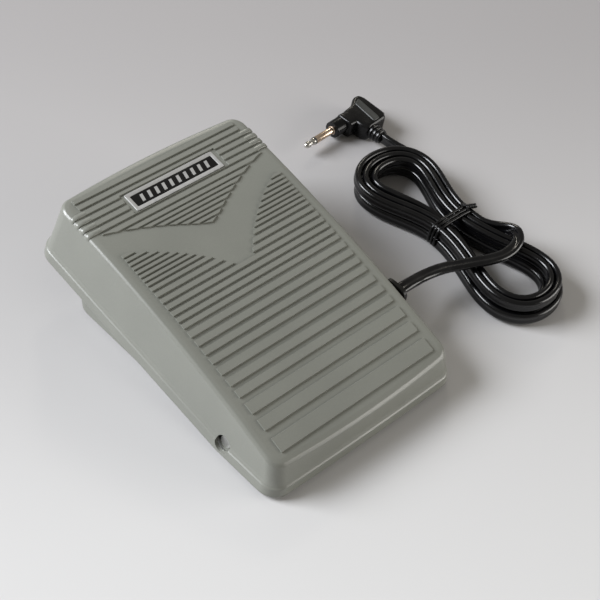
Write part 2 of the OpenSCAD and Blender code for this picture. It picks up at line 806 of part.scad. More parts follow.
// ---- cord entry -------------------------------------------------------------------------------
module cord_clamp() {
    color("#8f9193") centred() difference() {
        translate([clamp_x - clamp_w / 2, gland_y - clamp_gap - clamp_w / 2, shelf_z])
            cube([clamp_w, 2 * clamp_gap + clamp_w, clamp_h]);
        translate([clamp_x - clamp_w, gland_y - cord_w / 2 - 0.1, shelf_z - 1])
            cube([2 * clamp_w, cord_w + 0.2, gland_z - shelf_z + cord_t / 2 + 1.1]);
        for (s = [-1, 1]) translate([clamp_x, gland_y + s * clamp_gap, 0])
            rod(screw_r, 0, shelf_z + clamp_h + 1);
    }
}

module clamp_screws() {
    color("#b4b6b8") centred() for (s = [-1, 1]) {
        translate([clamp_x, gland_y + s * clamp_gap, 0]) pan_screw(shelf_z + clamp_h, clamp_h + 4);
    }
}

module rubber_feet() {
    color("#222222") centred() at_feet() rod(foot_d / 2, 0, foot_t);
}

// A rounded bar lying along X, centred on the gland's axis.
module gland_bar(x0, x1, l, h, r) {
    translate([x0, gland_y, gland_z]) rotate([90, 0, 90]) linear_extrude(height = x1 - x0) hull() {
        for (s = [-1, 1], t = [-1, 1]) translate([s * (l / 2 - r), t * (h / 2 - r)]) circle(r = r, $fn = 24);
    }
}

flange_x = rim_hw + 0.8;
gland_end = flange_x + flange_t + 1;
module cord_gland() {
    color("#141414") centred() {
        gland_bar(flange_x, flange_x + flange_t, flange_l, flange_h, 4);
        gland_bar(flange_x + flange_t - 0.5, gland_end, cord_w + 1.2, cord_t + 1.6, 2);
        translate([gland_wall_x - 0.5, gland_y - neck_l / 2, gland_z - neck_h / 2])
            cube([flange_x + 0.5 - gland_wall_x + 0.5, neck_l, neck_h]);
        gland_bar(gland_wall_x - 2, gland_wall_x, flange_l, flange_h - 1, 3);
        gland_bar(core_x, gland_wall_x - 1, cord_w, cord_t, cord_t / 2 - 0.1);
    }
}

// ---- cord ---------------------------------------------------------------------------------------
// The free stretches' points, from the gland to the hank and from the hank to the plug.
lead_points = [[57.3, -32, 17], [62, -32, 17], [67.5, -31.7, 16.1], [73.3, -31.2, 14.6], [80, -31.7, 14],
    [86.4, -33.4, 14.2], [92.8, -36.5, 14.8], [99.5, -39.8, 15.4], [106.4, -42.7, 15.5],
    [113.5, -44.4, 15.5], [120.5, -44, 15.5], [126.2, -41.7, 15.4], [129.5, -38.2, 15], [130.4, -34.2, 13.4],
    [129, -29.8, 11.8], [126.9, -25.8, 10.8], [125.3, -22, 10.5], [124.9, -18, 10.5]];
lead_rolls = [0, 0, 0, 0, 0, 0, 0, 0, 0, 0, 0, 0, 20, 50, 75, 90, 90, 90];
tail_points = [[135.2, 18.8, 4.1], [136.5, 23.3, 4.1], [137, 29, 4.3], [136, 34.4, 4.7],
    [134.4, 39.4, 5.2], [133.4, 43.4, 5.5], [133.1, 47.3, 5.5]];
tail_rolls = [90, 90, 90, 90, 90, 90, 90];

// The hank: one tube wound round a peanut-shaped loop, drawn in at the waist.  It spirals in on
// the lower layer and out again on the upper one.
hank_at = [113.7, -13];
hank_turns = 5.125;
hank_start = 45;
hank_pitch = 3.55;
strand_t = cord_t - 0.1;
strand_h = cord_w - 0.1;
layer_z = [4.1, 10.5];
waist_w = 2.2;
lobe_w = 27.5;
far_reach = 42.3;
near_reach = 52.3;
hank_rings = 24;
hank_mid = 2.625;                             // the climb lies along the left run
climb_turns = 0.24;
climb_squeeze = 1.2;                          // wider step beside the climb
squeeze_turns = 0.4;

// A point of the inner loop, and its outward normal.
function loop_reach(a) = sin(a) > 0 ? far_reach : near_reach;
function loop_point(a) = [waist_w * cos(a) + lobe_w * pow(sin(a), 2) * cos(a),
    loop_reach(a) * sin(a)];
function loop_normal(a) = unit([loop_reach(a) * cos(a),
    waist_w * sin(a) - lobe_w * (2 * sin(a) * pow(cos(a), 2) - pow(sin(a), 3))]);
function hank_climb(t) = let(c = min(1, max(0, (t - hank_mid) / climb_turns + 0.5)))
    c * c * (3 - 2 * c);
function hank_offset(t) = let(d = abs(t - hank_mid))
    hank_pitch * d - climb_squeeze * max(0, 1 - d / squeeze_turns);
function hank_point(t) = let(
        a = hank_start - 360 * t,
        p = loop_point(a) + loop_normal(a) * hank_offset(t))
    [hank_at[0] + p[0], hank_at[1] + p[1],
        layer_z[0] + (layer_z[1] - layer_z[0]) * hank_climb(t)];
// Straight ends reach from the loops to the free stretches.
hank_path = concat([tail_points[0]], [for (i = [0:hank_rings * hank_turns])
    hank_point(i / hank_rings)], [lead_points[len(lead_points) - 1]]);

// Least gap between any two passes of the hank: sideways where they share a level, and
// upright otherwise.
function flat2(p) = [p[0], p[1]];
function to_segment(p, a, b) = let(
        d = flat2(b - a),
        s = min(1, max(0, (flat2(p - a) * d) / (d * d))))
    norm(flat2(p - a) - d * s);
function pass_gap(i, j) = max(
    to_segment(hank_path[i], hank_path[j], hank_path[j + 1]) - strand_t,
    abs(hank_path[i][2] - hank_path[j][2]) - strand_h);
hank_gap = min([for (i = [0:len(hank_path) - 1], j = [i + hank_rings / 3:1:len(hank_path) - 2])
    pass_gap(i, j)]);
echo("least gap in the hank", hank_gap);

module cord_lead() {
    color("#151515") tube(lead_points, cord_w, cord_t, 8, lead_rolls);
}

module cord_hank() {
    color("#151515") tube(hank_path, strand_t, strand_h, 6);
}

module cord_tail() {
    color("#151515") tube(tail_points, cord_w, cord_t, 8, tail_rolls);
}

// Wire tie round the waist, with its twisted ends on top.
tie_l = 4.5;
tie_t = 0.9;
module cord_tie() {
    right = waist_w + hank_pitch * 2.5 + strand_t / 2 + 0.4;
    left = waist_w + hank_pitch * 2 + strand_t / 2 + 0.4;
    top = layer_z[1] + strand_h / 2 + 0.3;
    bottom = layer_z[0] - strand_h / 2 - 0.2;
    color("#101010") translate([hank_at[0], hank_at[1] - tie_l / 2, 0]) {
        rotate([-90, 0, 0]) linear_extrude(height = tie_l) difference() {
            translate([-left - tie_t, -top - tie_t])
                square([left + right + 2 * tie_t, top - bottom + 2 * tie_t]);
            translate([-left, -top]) square([left + right, top - bottom]);
        }
        translate([right - 7, tie_l / 2, top + tie_t + 0.3]) rotate([0, 80, 25])
            cylinder(r = 0.9, h = 6, $fn = 24);
    }
}

// ---- plug -----------------------------------------------------------------------------------------
plug_z = 5.5;
plug_at = [116.3, 65];                        // where the shank leaves the collar
plug_turn = 3;
collar_r = 3.75;
collar_l = 5.6;
boss_l = 6.5;
boss_w = 9.4;                                 // squared boss between the collar and the body
boss_edge_r = 2;
plug_w = 13.5;
plug_cut = 4;                                 // cut-off corners of the body's outline
plug_chamfer = 1;                             // chamfer round its upper and lower faces
boot_d = 8.6;
boot_l = 8;
boot_ribs = 4;
plug_x0 = collar_l + boss_l;
plug_back = 1;                                // how far the body's middle lies towards the cord
pad_h = 0.5;                                  // raised pad on the body's upper face

module plug_frame() {
    translate([plug_at[0], plug_at[1], plug_z]) rotate([0, 0, plug_turn]) children();
}

module along_x(x0, x1, r0, r1) {
    translate([x0, 0, 0]) rotate([0, 90, 0]) cylinder(r1 = r0, r2 = r1, h = x1 - x0, $fn = round_fn);
}

// Outline of the body about its own middle: a rectangle with its corners cut off.
function plug_outline(w, l, cut) = [[-w / 2, cut - l / 2], [cut / 2 - w / 2, -l / 2],
    [w / 2 - cut, -l / 2], [w / 2, cut - l / 2], [w / 2, l / 2 - cut], [w / 2 - cut, l / 2],
    [cut / 2 - w / 2, l / 2], [-w / 2, l / 2 - cut]];

module plug_slab() {
    outline = plug_outline(plug_w, plug_l, plug_cut);
    flat_t = plug_t - 2 * plug_chamfer;
    translate([0, 0, -flat_t / 2]) linear_extrude(height = flat_t) polygon(outline);
    for (turn = [0, 180]) rotate([turn, 0, 0]) translate([0, 0, flat_t / 2])
        linear_extrude(height = plug_chamfer,
            scale = [1 - 2 * plug_chamfer / plug_w, 1 - 2 * plug_chamfer / plug_l]) polygon(outline);
    translate([0.5, -0.5, plug_t / 2 - 0.1]) linear_extrude(height = pad_h + 0.1)
        polygon(plug_outline(plug_w - 5, plug_l - 5, plug_cut - 1.5));
}

module plug_boss() {
    h = plug_t - 1;
    translate([collar_l, 0, 0]) rotate([90, 0, 90])
        linear_extrude(height = boss_l + 0.5, scale = [1.15, 1.04]) hull() {
            for (s = [-1, 1], t = [-1, 1])
                translate([s * (boss_w / 2 - boss_edge_r), t * (h / 2 - boss_edge_r)])
                    circle(r = boss_edge_r, $fn = 24);
        }
}

// The sleeve that the cord leaves from, with a groove after each rib.
module plug_boot() {
    step = boot_l / boot_ribs;
    rotate([90, 0, 0]) rotate_extrude($fn = round_fn)
        polygon(concat([[0, 0]], [for (i = [0:boot_ribs - 1]) let(r = boot_d / 2 - 0.15 * i) each [
            [r, i * step], [r, i * step + 0.6 * step], [boot_d / 2 - 0.9, i * step + 0.65 * step],
            [boot_d / 2 - 0.9, (i + 1) * step - 0.1]]], [[0, boot_l - 0.1]]));
}

boot_x = plug_x0 + plug_w / 2 - 3;
module plug_body() {
    color("#171717") plug_frame() {
        along_x(0, collar_l + 0.5, collar_r, collar_r);
        plug_boss();
        translate([plug_x0 + plug_w / 2, -plug_back, 0]) plug_slab();
        translate([boot_x, 0.5 - plug_back - plug_l / 2, 0]) plug_boot();
    }
}

jack_r = jack_d / 2;
tip_l = 6;
ring_l = 0.9;

module plug_sleeve() {
    color("#cda96a") plug_frame() along_x(-jack_l + tip_l + ring_l, 0, jack_r, jack_r);
}

module plug_ring() {
    color("#1a1a1a") plug_frame() along_x(-jack_l + tip_l, -jack_l + tip_l + ring_l, jack_r, jack_r);
}

module plug_tip() {
    color("#d6d2c6") plug_frame() translate([-jack_l, 0, 0]) rotate([0, 90, 0])
        rotate_extrude($fn = round_fn) polygon([[0, 0], [0.7, 0], [1.2, 0.5], [jack_r - 0.05, 2.4],
            [jack_r - 0.6, 3.6], [jack_r - 0.6, 4], [jack_r, 5.2], [jack_r, tip_l], [0, tip_l]]);
}

// ---- what is drawn ----------------------------------------------------------------------------------
treadle_cover();
label_plate();
base_tray();
hinge_pins();
return_spring_left();
return_spring_right();
stop_washers();
limit_screws();
circuit_board();
board_screws();
control_case();
control_lid();
resistor_strip();
plunger();
wiper();
plunger_spring();
capacitor();
resistors();
terminal_block();
lead_wires();
cord_clamp();
clamp_screws();
rubber_feet();
cord_gland();
cord_lead();
cord_hank();
cord_tail();
cord_tie();
plug_body();
plug_sleeve();
plug_ring();
plug_tip();
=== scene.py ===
"""Dresses a sewing machine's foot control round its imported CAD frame.

Sizes inside the classes are millimetres. Meshes are built in metres in the frame's own axes:
+Z up, +Y from the pedal's thin end to its tall end, +X to the side that the cord leaves from.
"""

from __future__ import annotations

import json
import logging
import math
from dataclasses import dataclass, field
from enum import Enum
from typing import Any, Sequence

import bmesh
import bpy
import numpy as np
from mathutils import Euler, Matrix, Vector

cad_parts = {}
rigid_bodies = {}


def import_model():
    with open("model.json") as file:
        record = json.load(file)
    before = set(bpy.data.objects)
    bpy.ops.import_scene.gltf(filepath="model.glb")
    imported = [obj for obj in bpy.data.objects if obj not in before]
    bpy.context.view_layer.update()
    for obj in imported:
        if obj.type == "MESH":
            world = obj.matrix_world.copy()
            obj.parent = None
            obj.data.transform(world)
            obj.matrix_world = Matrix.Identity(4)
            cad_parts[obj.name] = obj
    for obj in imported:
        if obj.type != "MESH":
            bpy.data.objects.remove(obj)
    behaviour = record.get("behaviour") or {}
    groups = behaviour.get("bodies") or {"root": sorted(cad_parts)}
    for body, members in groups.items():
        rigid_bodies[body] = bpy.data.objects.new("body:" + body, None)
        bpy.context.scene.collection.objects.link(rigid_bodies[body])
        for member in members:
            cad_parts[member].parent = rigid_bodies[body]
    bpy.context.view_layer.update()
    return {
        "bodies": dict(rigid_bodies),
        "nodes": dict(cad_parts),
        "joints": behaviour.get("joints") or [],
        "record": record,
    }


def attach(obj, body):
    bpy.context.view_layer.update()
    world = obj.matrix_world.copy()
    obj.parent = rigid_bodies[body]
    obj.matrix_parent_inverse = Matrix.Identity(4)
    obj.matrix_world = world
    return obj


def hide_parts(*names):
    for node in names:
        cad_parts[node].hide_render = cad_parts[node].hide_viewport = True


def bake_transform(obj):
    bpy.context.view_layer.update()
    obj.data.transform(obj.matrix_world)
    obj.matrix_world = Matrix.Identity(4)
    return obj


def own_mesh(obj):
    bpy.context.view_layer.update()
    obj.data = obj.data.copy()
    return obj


LOG = logging.getLogger("foot_control")
MM = 0.001
SPLINE_STEPS = 12
ARC_STEPS = 12
Ring = np.ndarray
Colour = tuple[float, float, float]


class Body(str, Enum):
    """The rigid bodies that pieces ride on."""

    BASE = "base"
    TREADLE = "treadle"


class Grain(Enum):
    """Surface grain of a moulded part, as the size of one grain in millimetres."""

    SMOOTH = 1.6
    SATIN = 0.55
    SPARK = 0.32


# ---------------------------------------------------------------- shader arithmetic


class Link:
    """A shader socket that takes part in Python arithmetic."""

    def __init__(self, shader: "Shader", socket: bpy.types.NodeSocket) -> None:
        """Wraps one output socket of a shader's tree."""
        self.shader = shader
        self.socket = socket

    def _math(self, operation: str, *terms: Any) -> "Link":
        """Adds one Math node over its terms and returns its output."""
        return self.shader.out("ShaderNodeMath", {"operation": operation}, dict(enumerate(terms)))

    def __add__(self, other: Any) -> "Link":
        """Sum."""
        return self._math("ADD", self, other)

    __radd__ = __add__

    def __mul__(self, other: Any) -> "Link":
        """Product."""
        return self._math("MULTIPLY", self, other)

    __rmul__ = __mul__

    def sine(self) -> "Link":
        """Sine of the value in radians."""
        return self._math("SINE", self)

    def ramp(self, low: float, high: float, start: float = 0.0, end: float = 1.0) -> "Link":
        """Maps low..high smoothly to start..end.

        Args:
            low: value that gives start.
            high: value that gives end.
            start: result at low.
            end: result at high.

        Returns:
            The mapped value.
        """
        return self.shader.out(
            "ShaderNodeMapRange",
            {"interpolation_type": "SMOOTHSTEP"},
            {"Value": self, "From Min": low, "From Max": high, "To Min": start, "To Max": end},
            "Result",
        )


class Shader:
    """Builds one node material round a Principled shader."""

    def __init__(self, name: str) -> None:
        """Makes an empty material.

        Args:
            name: the material's name.
        """
        self.material = bpy.data.materials.new(name)
        self.material.use_nodes = True
        self.tree = self.material.node_tree
        self.surface = self.tree.nodes["Principled BSDF"]

    def node(self, kind: str, settings: dict[str, Any], values: dict[Any, Any]) -> bpy.types.Node:
        """Adds a node.

        Args:
            kind: the node's type.
            settings: properties that are set first.
            values: numbers or links, by socket name or number.

        Returns:
            The node.
        """
        made = self.tree.nodes.new(kind)
        for key, value in settings.items():
            setattr(made, key, value)
        for key, value in values.items():
            self.feed(made.inputs[key], value)
        return made

    def feed(self, socket: bpy.types.NodeSocket, value: Any) -> None:
        """Links or sets one input socket.

        Args:
            socket: the input.
            value: a link, a number, or a colour of three numbers.
        """
        if isinstance(value, Link):
            self.tree.links.new(value.socket, socket)
        elif isinstance(value, tuple) and socket.type == "RGBA":
            socket.default_value = (*value, 1.0)
        else:
            socket.default_value = value

    def out(
        self, kind: str, settings: dict[str, Any], values: dict[Any, Any], name: Any = 0
    ) -> Link:
        """Adds a node.

        Args:
            kind: the node's type.
            settings: properties that are set first.
            values: numbers or links, by socket name or number.
            name: the output's name or number.

        Returns:
            One of its outputs.
        """
        return Link(self, self.node(kind, settings, values).outputs[name])

    def place(self) -> Link:
        """The point in the piece's own coordinates, in metres."""
        return self.out("ShaderNodeTexCoord", {}, {}, "Object")

    def axis(self, which: int) -> Link:
        """One coordinate of the point, in millimetres."""
        return self.out("ShaderNodeSeparateXYZ", {}, {0: self.place()}, which) * 1000.0

    def noise(self, size: float, detail: float = 3.0, rough: float = 0.55) -> Link:
        """Cloudy noise.

        Args:
            size: how many millimetres its features are across.
            detail: how many finer layers it has.
            rough: how strong the finer layers are.

        Returns:
            The noise.
        """
        values = {"Vector": self.place(), "Scale": 1 / (size * MM), "Detail": detail}
        return self.out("ShaderNodeTexNoise", {}, {**values, "Roughness": rough})

    def stretched(self, size: float, stretch: tuple[float, float, float]) -> Link:
        """Noise drawn out along an axis.

        Args:
            size: how many millimetres its features are across.
            stretch: a factor for each axis, where a small one gives long features.

        Returns:
            The noise.
        """
        moved = self.out("ShaderNodeMapping", {}, {"Vector": self.place(), "Scale": stretch})
        values = {"Vector": moved, "Scale": 1 / (size * MM), "Detail": 3.0}
        return self.out("ShaderNodeTexNoise", {}, values)

    def mix(self, factor: Link, first: Colour, second: Colour) -> Link:
        """Blends two colours.

        Args:
            factor: 0 gives the first colour and 1 the second.
            first: colour of three numbers.
            second: colour of three numbers.

        Returns:
            The blended colour.
        """
        made = self.node("ShaderNodeMix", {"data_type": "RGBA"}, {0: factor})
        ends = [s for s in made.inputs if s.type == "RGBA"]
        self.feed(ends[0], first)
        self.feed(ends[1], second)
        return Link(self, next(s for s in made.outputs if s.type == "RGBA"))

    def bump(self, height: Link, depth: float, strength: float = 1.0) -> None:
        """Feeds a height to the surface's normal.

        Args:
            height: the height, from 0 to 1.
            depth: how many millimetres a height of 1 stands for.
            strength: how strongly it shows.
        """
        made = self.node(
            "ShaderNodeBump", {}, {"Height": height, "Distance": depth * MM, "Strength": strength}
        )
        self.tree.links.new(made.outputs[0], self.surface.inputs["Normal"])

    def set(self, **values: Any) -> None:
        """Sets the surface's sockets; an underscore stands for a space in a name."""
        for key, value in values.items():
            self.feed(self.surface.inputs[key.replace("_", " ")], value)


# ---------------------------------------------------------------- finishes


@dataclass(frozen=True)
class MouldedPlastic:
    """Moulded plastic with a spark-eroded grain and a cloudy tone."""

    name: str
    colour: Colour
    shade: Colour
    roughness: float = 0.42
    grain: Grain = Grain.SATIN
    depth: float = 0.012
    gloss: float = 0.5

    def material(self) -> bpy.types.Material:
        """Builds the node material.

        Returns:
            The material.
        """
        shader = Shader(self.name)
        cloud = shader.noise(38.0, 2.0)
        speck = shader.noise(self.grain.value, 4.0, 0.6)
        tone = (cloud * 0.6 + speck * 0.4).ramp(0.3, 0.7)
        shader.set(
            Base_Color=shader.mix(tone, self.shade, self.colour),
            Roughness=cloud.ramp(0.25, 0.75, self.roughness + 0.02, self.roughness - 0.015),
            IOR=1.49,
            Specular_IOR_Level=self.gloss,
        )
        shader.bump(speck, self.depth)
        return shader.material


@dataclass(frozen=True)
class GlossyJacket:
    """Glossy soft plastic, as of a cord's jacket, with a faint haze of dust."""

    name: str
    colour: Colour = (0.0022, 0.0022, 0.0026)
    dust: Colour = (0.008, 0.008, 0.0083)
    roughness: float = 0.19
    depth: float = 0.003
    gloss: float = 0.42

    def material(self) -> bpy.types.Material:
        """Builds the node material.

        Returns:
            The material.
        """
        shader = Shader(self.name)
        haze = shader.noise(9.0, 4.0, 0.6)
        fine = shader.noise(0.8, 3.0)
        shader.set(
            Base_Color=shader.mix(haze.ramp(0.52, 0.85), self.colour, self.dust),
            Roughness=(haze * 0.6 + fine * 0.4).ramp(
                0.3, 0.75, self.roughness - 0.04, self.roughness + 0.09
            ),
            IOR=1.5,
            Specular_IOR_Level=self.gloss,
        )
        shader.bump(haze * 0.7 + fine * 0.3, self.depth)
        return shader.material


@dataclass(frozen=True)
class BarePlate:
    """Metal with drawn or turned marks along one axis."""

    name: str
    colour: Colour
    tarnish: Colour
    roughness: float = 0.24
    marks: tuple[float, float, float] = (1.0, 0.05, 1.0)
    depth: float = 0.003

    def material(self) -> bpy.types.Material:
        """Builds the node material.

        Returns:
            The material.
        """
        shader = Shader(self.name)
        lines = shader.stretched(0.25, self.marks)
        stain = shader.noise(3.0, 4.0, 0.6)
        shader.set(
            Base_Color=shader.mix(stain.ramp(0.45, 0.75), self.colour, self.tarnish),
            Metallic=1.0,
            Roughness=(lines * 0.5 + stain * 0.5).ramp(
                0.3, 0.7, self.roughness - 0.06, self.roughness + 0.12
            ),
        )
        shader.bump(lines, self.depth)
        return shader.material


@dataclass(frozen=True)
class Board:
    """Phenolic laminate with a woven sheen."""

    name: str
    colour: Colour
    shade: Colour

    def material(self) -> bpy.types.Material:
        """Builds the node material.

        Returns:
            The material.
        """
        shader = Shader(self.name)
        weave = (shader.axis(0) * 7.0).sine() * (shader.axis(1) * 7.0).sine()
        cloud = shader.noise(12.0)
        tone = cloud.ramp(0.35, 0.65) * 0.7 + weave.ramp(-1.0, 1.0) * 0.3
        shader.set(
            Base_Color=shader.mix(tone, self.shade, self.colour),
            Roughness=cloud.ramp(0.3, 0.7, 0.38, 0.5),
        )
        shader.bump(weave, 0.01)
        return shader.material


@dataclass(frozen=True)
class Lamp:
    """One rectangular area lamp that faces the part, in metres."""

    name: str
    place: tuple[float, float, float]
    size: tuple[float, float]
    share: float
    colour: Colour

    def build(self, power: float) -> None:
        """Hangs the lamp.

        Args:
            power: the power that a share of one stands for, in watts.
        """
        lamp = bpy.data.lights.new(self.name, "AREA")
        lamp.shape = "RECTANGLE"
        lamp.size, lamp.size_y = self.size
        lamp.energy = power * self.share
        lamp.color = self.colour
        holder = bpy.data.objects.new(self.name, lamp)
        holder.location = self.place
        holder.rotation_mode = "QUATERNION"
        holder.rotation_quaternion = (-Vector(self.place)).to_track_quat("-Z", "Y")
        bpy.context.scene.collection.objects.link(holder)


@dataclass(frozen=True)
class Studio:
    """Pale table with painted shade that darkens it towards its far side, lit by a window, a
    doorway and a lamp.
    """

    near_tone: Colour = (0.66, 0.657, 0.65)
    # colour that the table's painted shade reaches at its far side
    far_painted_shade: Colour = (0.35, 0.337, 0.337)
    away: tuple[float, float] = (0.58, 0.81)
    fade: tuple[float, float] = (-230.0, 260.0)
    fade_drift: float = 12.0
    table_reach: float = 8.0
    room_tone: Colour = (0.94, 0.9, 0.82)
    room_strength: float = 0.24
    power: float = 110.0
    lamps: tuple[Lamp, ...] = (
        Lamp("window", (-1.52, 1.455, 1.33), (1.35, 1.1), 1.0, (0.955, 0.98, 1.03)),
        Lamp("doorway", (1.17, -1.12, 0.43), (1.2, 0.8), 0.155, (1.0, 0.98, 0.94)),
        Lamp("lamp", (1.06, 1.24, 0.97), (0.2, 0.2), 0.022, (1.0, 0.94, 0.82)),
    )

    def floor_material(self) -> bpy.types.Material:
        """Builds the table's finish, with painted shade that darkens its tone along one direction
        over the table.

        Returns:
            The material.
        """
        shader = Shader("pale_table")
        cloud = shader.noise(90.0, 2.0)
        along = shader.axis(0) * self.away[0] + shader.axis(1) * self.away[1]
        # painted shade: the table's colour darkens from the near colour to the far one along away
        tone = (along + cloud * self.fade_drift).ramp(*self.fade)
        shader.set(Base_Color=shader.mix(tone, self.near_tone, self.far_painted_shade), Roughness=0.6)
        return shader.material

    def build(self) -> None:
        """Lays the table, and sets the lamps, the room's light and the view's colours."""
        r = self.table_reach
        mesh = bpy.data.meshes.new("table")
        mesh.from_pydata([(-r, -r, 0), (r, -r, 0), (r, r, 0), (-r, r, 0)], [], [(0, 1, 2, 3)])
        table = bpy.data.objects.new("table", mesh)
        bpy.context.scene.collection.objects.link(table)
        mesh.materials.append(self.floor_material())
        for lamp in self.lamps:
            lamp.build(self.power)
        world = bpy.data.worlds.new("room")
        world.use_nodes = True
        back = world.node_tree.nodes["Background"]
        back.inputs["Color"].default_value = (*self.room_tone, 1.0)
        back.inputs["Strength"].default_value = self.room_strength
        scene = bpy.context.scene
        scene.world = world
        scene.view_settings.view_transform = "Standard"


@dataclass(frozen=True)
class Camera:
    """The camera's place in millimetres, its turn in degrees about X, Y and Z, and its lens."""

    place: tuple[float, float, float] = (-357.10, -284.48, 502.44)
    turn: tuple[float, float, float] = (42.9322, -9.3157, -44.0950)
    lens: float = 97.245
    film: float = 36.0

    def build(self) -> None:
        """Adds the camera to the scene."""
        data = bpy.data.cameras.new("camera")
        data.lens = self.lens
        data.sensor_width = self.film
        data.clip_start, data.clip_end = 0.01, 50.0
        holder = bpy.data.objects.new("camera", data)
        turned = Euler([math.radians(a) for a in self.turn], "XYZ").to_matrix()
        holder.matrix_world = Matrix.Translation(Vector(self.place) * MM) @ turned.to_4x4()
        bpy.context.scene.collection.objects.link(holder)
        bpy.context.scene.camera = holder


# ---------------------------------------------------------------- mesh making


class End(Enum):
    """Ways to close the end ring of a loft."""

    FAN = "one face"
    STRIP = "quads across the ring"

    def faces(self, first: int, size: int) -> list[tuple[int, ...]]:
        """The faces that close a ring.

        Args:
            first: number of the ring's first point.
            size: how many points the ring has.

        Returns:
            The faces.
        """
        if self is End.FAN:
            return [tuple(range(first, first + size))]
        made = []
        for i in range(size // 2):
            corners = (i, i + 1, (size - i - 1) % size, (size - i) % size)
            made.append(tuple(dict.fromkeys(first + k for k in corners)))
        return made


class Skin:
    """Collects rings and faces, and turns them into one object."""

    def __init__(self) -> None:
        """Starts with nothing."""
        self.points: list[np.ndarray] = []
        self.faces: list[tuple[int, ...]] = []
        self.count = 0

    def add(self, points: np.ndarray) -> int:
        """Adds points.

        Args:
            points: the points, in millimetres.

        Returns:
            The number of the first one.
        """
        first = self.count
        self.points.append(np.asarray(points, float).reshape(-1, 3))
        self.count += len(self.points[-1])
        return first

    def take(self, other: "Skin") -> None:
        """Adds all of another skin."""
        first = self.add(np.vstack(other.points))
        self.faces += [tuple(first + i for i in face) for face in other.faces]

    def wall(self, first: int, second: int, size: int) -> None:
        """Joins two closed rings with quads.

        Args:
            first: number of the first ring's first point.
            second: number of the second ring's first point.
            size: how many points each ring has.
        """
        for i in range(size):
            j = (i + 1) % size
            self.faces.append((first + i, first + j, second + j, second + i))

    def loft(self, rings: Sequence[Ring], ends: End = End.FAN) -> None:
        """Skins closed rings of one size and closes both ends.

        Args:
            rings: the rings, in order.
            ends: how the first and last rings are closed.
        """
        starts = [self.add(ring) for ring in rings]
        size = len(rings[0])
        for low, high in zip(starts, starts[1:]):
            self.wall(low, high, size)
        self.faces += [face[::-1] for face in ends.faces(starts[0], size)]
        self.faces += ends.faces(starts[-1], size)

    def bare(self, name: str) -> bpy.types.Object:
        """Makes an undressed object in metres.

        Args:
            name: the object's name.

        Returns:
            The object, linked to the scene.
        """
        mesh = bpy.data.meshes.new(name)
        mesh.from_pydata((np.vstack(self.points) * MM).tolist(), [], self.faces)
        made = bmesh.new()
        made.from_mesh(mesh)
        bmesh.ops.recalc_face_normals(made, faces=made.faces)
        made.to_mesh(mesh)
        made.free()
        obj = bpy.data.objects.new(name, mesh)
        bpy.context.scene.collection.objects.link(obj)
        return obj

    def piece(
        self, name: str, body: Body, material: bpy.types.Material, slot: str, smooth: float = 35.0
    ) -> bpy.types.Object:
        """Makes the object, dressed and on its body.

        Args:
            name: the piece's name.
            body: the body it rides on.
            material: its finish.
            slot: a material slot's name; not used.
            smooth: edges under this many degrees are shaded smooth.

        Returns:
            The object.
        """
        obj = self.bare(name)
        finish_piece(obj, body, material, smooth)
        return obj


def finish_piece(
    obj: bpy.types.Object, body: Body, material: bpy.types.Material, smooth: float = 35.0
) -> None:
    """Dresses a piece, shades it smooth below an angle and sets it on its body.

    Args:
        obj: the piece.
        body: the body it rides on.
        material: its finish.
        smooth: edges under this many degrees are shaded smooth.
    """
    obj.data.materials.clear()
    obj.data.materials.append(material)
    shade(obj, smooth)
    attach(obj, body.value)


def shade(obj: bpy.types.Object, smooth: float) -> None:
    """Shades a mesh smooth, with edges over an angle kept sharp."""
    obj.data.polygons.foreach_set("use_smooth", [True] * len(obj.data.polygons))
    obj.data.set_sharp_from_angle(angle=math.radians(smooth))


def apply_modifiers(obj: bpy.types.Object) -> None:
    """Bakes an object's modifiers into its mesh.

    Args:
        obj: the object.
    """
    depsgraph = bpy.context.evaluated_depsgraph_get()
    mesh = bpy.data.meshes.new_from_object(obj.evaluated_get(depsgraph))
    obj.modifiers.clear()
    obj.data = mesh


def cut(obj: bpy.types.Object, *cutters: bpy.types.Object) -> None:
    """Takes closed cutters away from a mesh and removes them.

    Args:
        obj: the object that is cut.
        cutters: the closed objects that cut it.
    """
    for cutter in cutters:
        made = obj.modifiers.new("cut", "BOOLEAN")
        made.operation = "DIFFERENCE"
        made.solver = "EXACT"
        made.object = cutter
    bpy.context.view_layer.update()
    apply_modifiers(obj)
    for cutter in cutters:
        bpy.data.objects.remove(cutter)


def soften(obj: bpy.types.Object, width: float, segments: int, angle: float) -> None:
    """Rounds a mesh's sharp edges.

    Args:
        obj: the object.
        width: width of the rounding, in millimetres.
        segments: steps in the rounding.
        angle: edges over this many degrees are rounded.
    """
    made = obj.modifiers.new("soften", "BEVEL")
    made.width = width * MM
    made.segments = segments
    made.limit_method = "ANGLE"
    made.angle_limit = math.radians(angle)
    made.harden_normals = False
    apply_modifiers(obj)


def flatten_lands(obj: bpy.types.Object) -> None:
    """Keeps a softened mesh's large faces flat, with its rounding left to the narrow ones.

    Args:
        obj: the object.
    """
    made = obj.modifiers.new("lands", "WEIGHTED_NORMAL")
    made.keep_sharp = True
    made.weight = 100
    apply_modifiers(obj)


def circle(radius: float, sides: int) -> np.ndarray:
    """Points of a circle in a plane."""
    a = np.linspace(0.0, 2 * math.pi, sides, endpoint=False)
    return np.stack([radius * np.cos(a), radius * np.sin(a)], axis=1)


def superellipse(half_w: float, half_h: float, power: float, sides: int) -> np.ndarray:
    """Points of a rounded rectangle in a plane.

    Args:
        half_w: half its width.
        half_h: half its height.
        power: 2 gives an ellipse, and more squares it.
        sides: how many points.

    Returns:
        The points.
    """
    a = np.linspace(0.0, 2 * math.pi, sides, endpoint=False) + math.pi / sides
    c, s = np.cos(a), np.sin(a)
    x = half_w * np.sign(c) * np.abs(c) ** (2.0 / power)
    y = half_h * np.sign(s) * np.abs(s) ** (2.0 / power)
    return np.stack([x, y], axis=1)


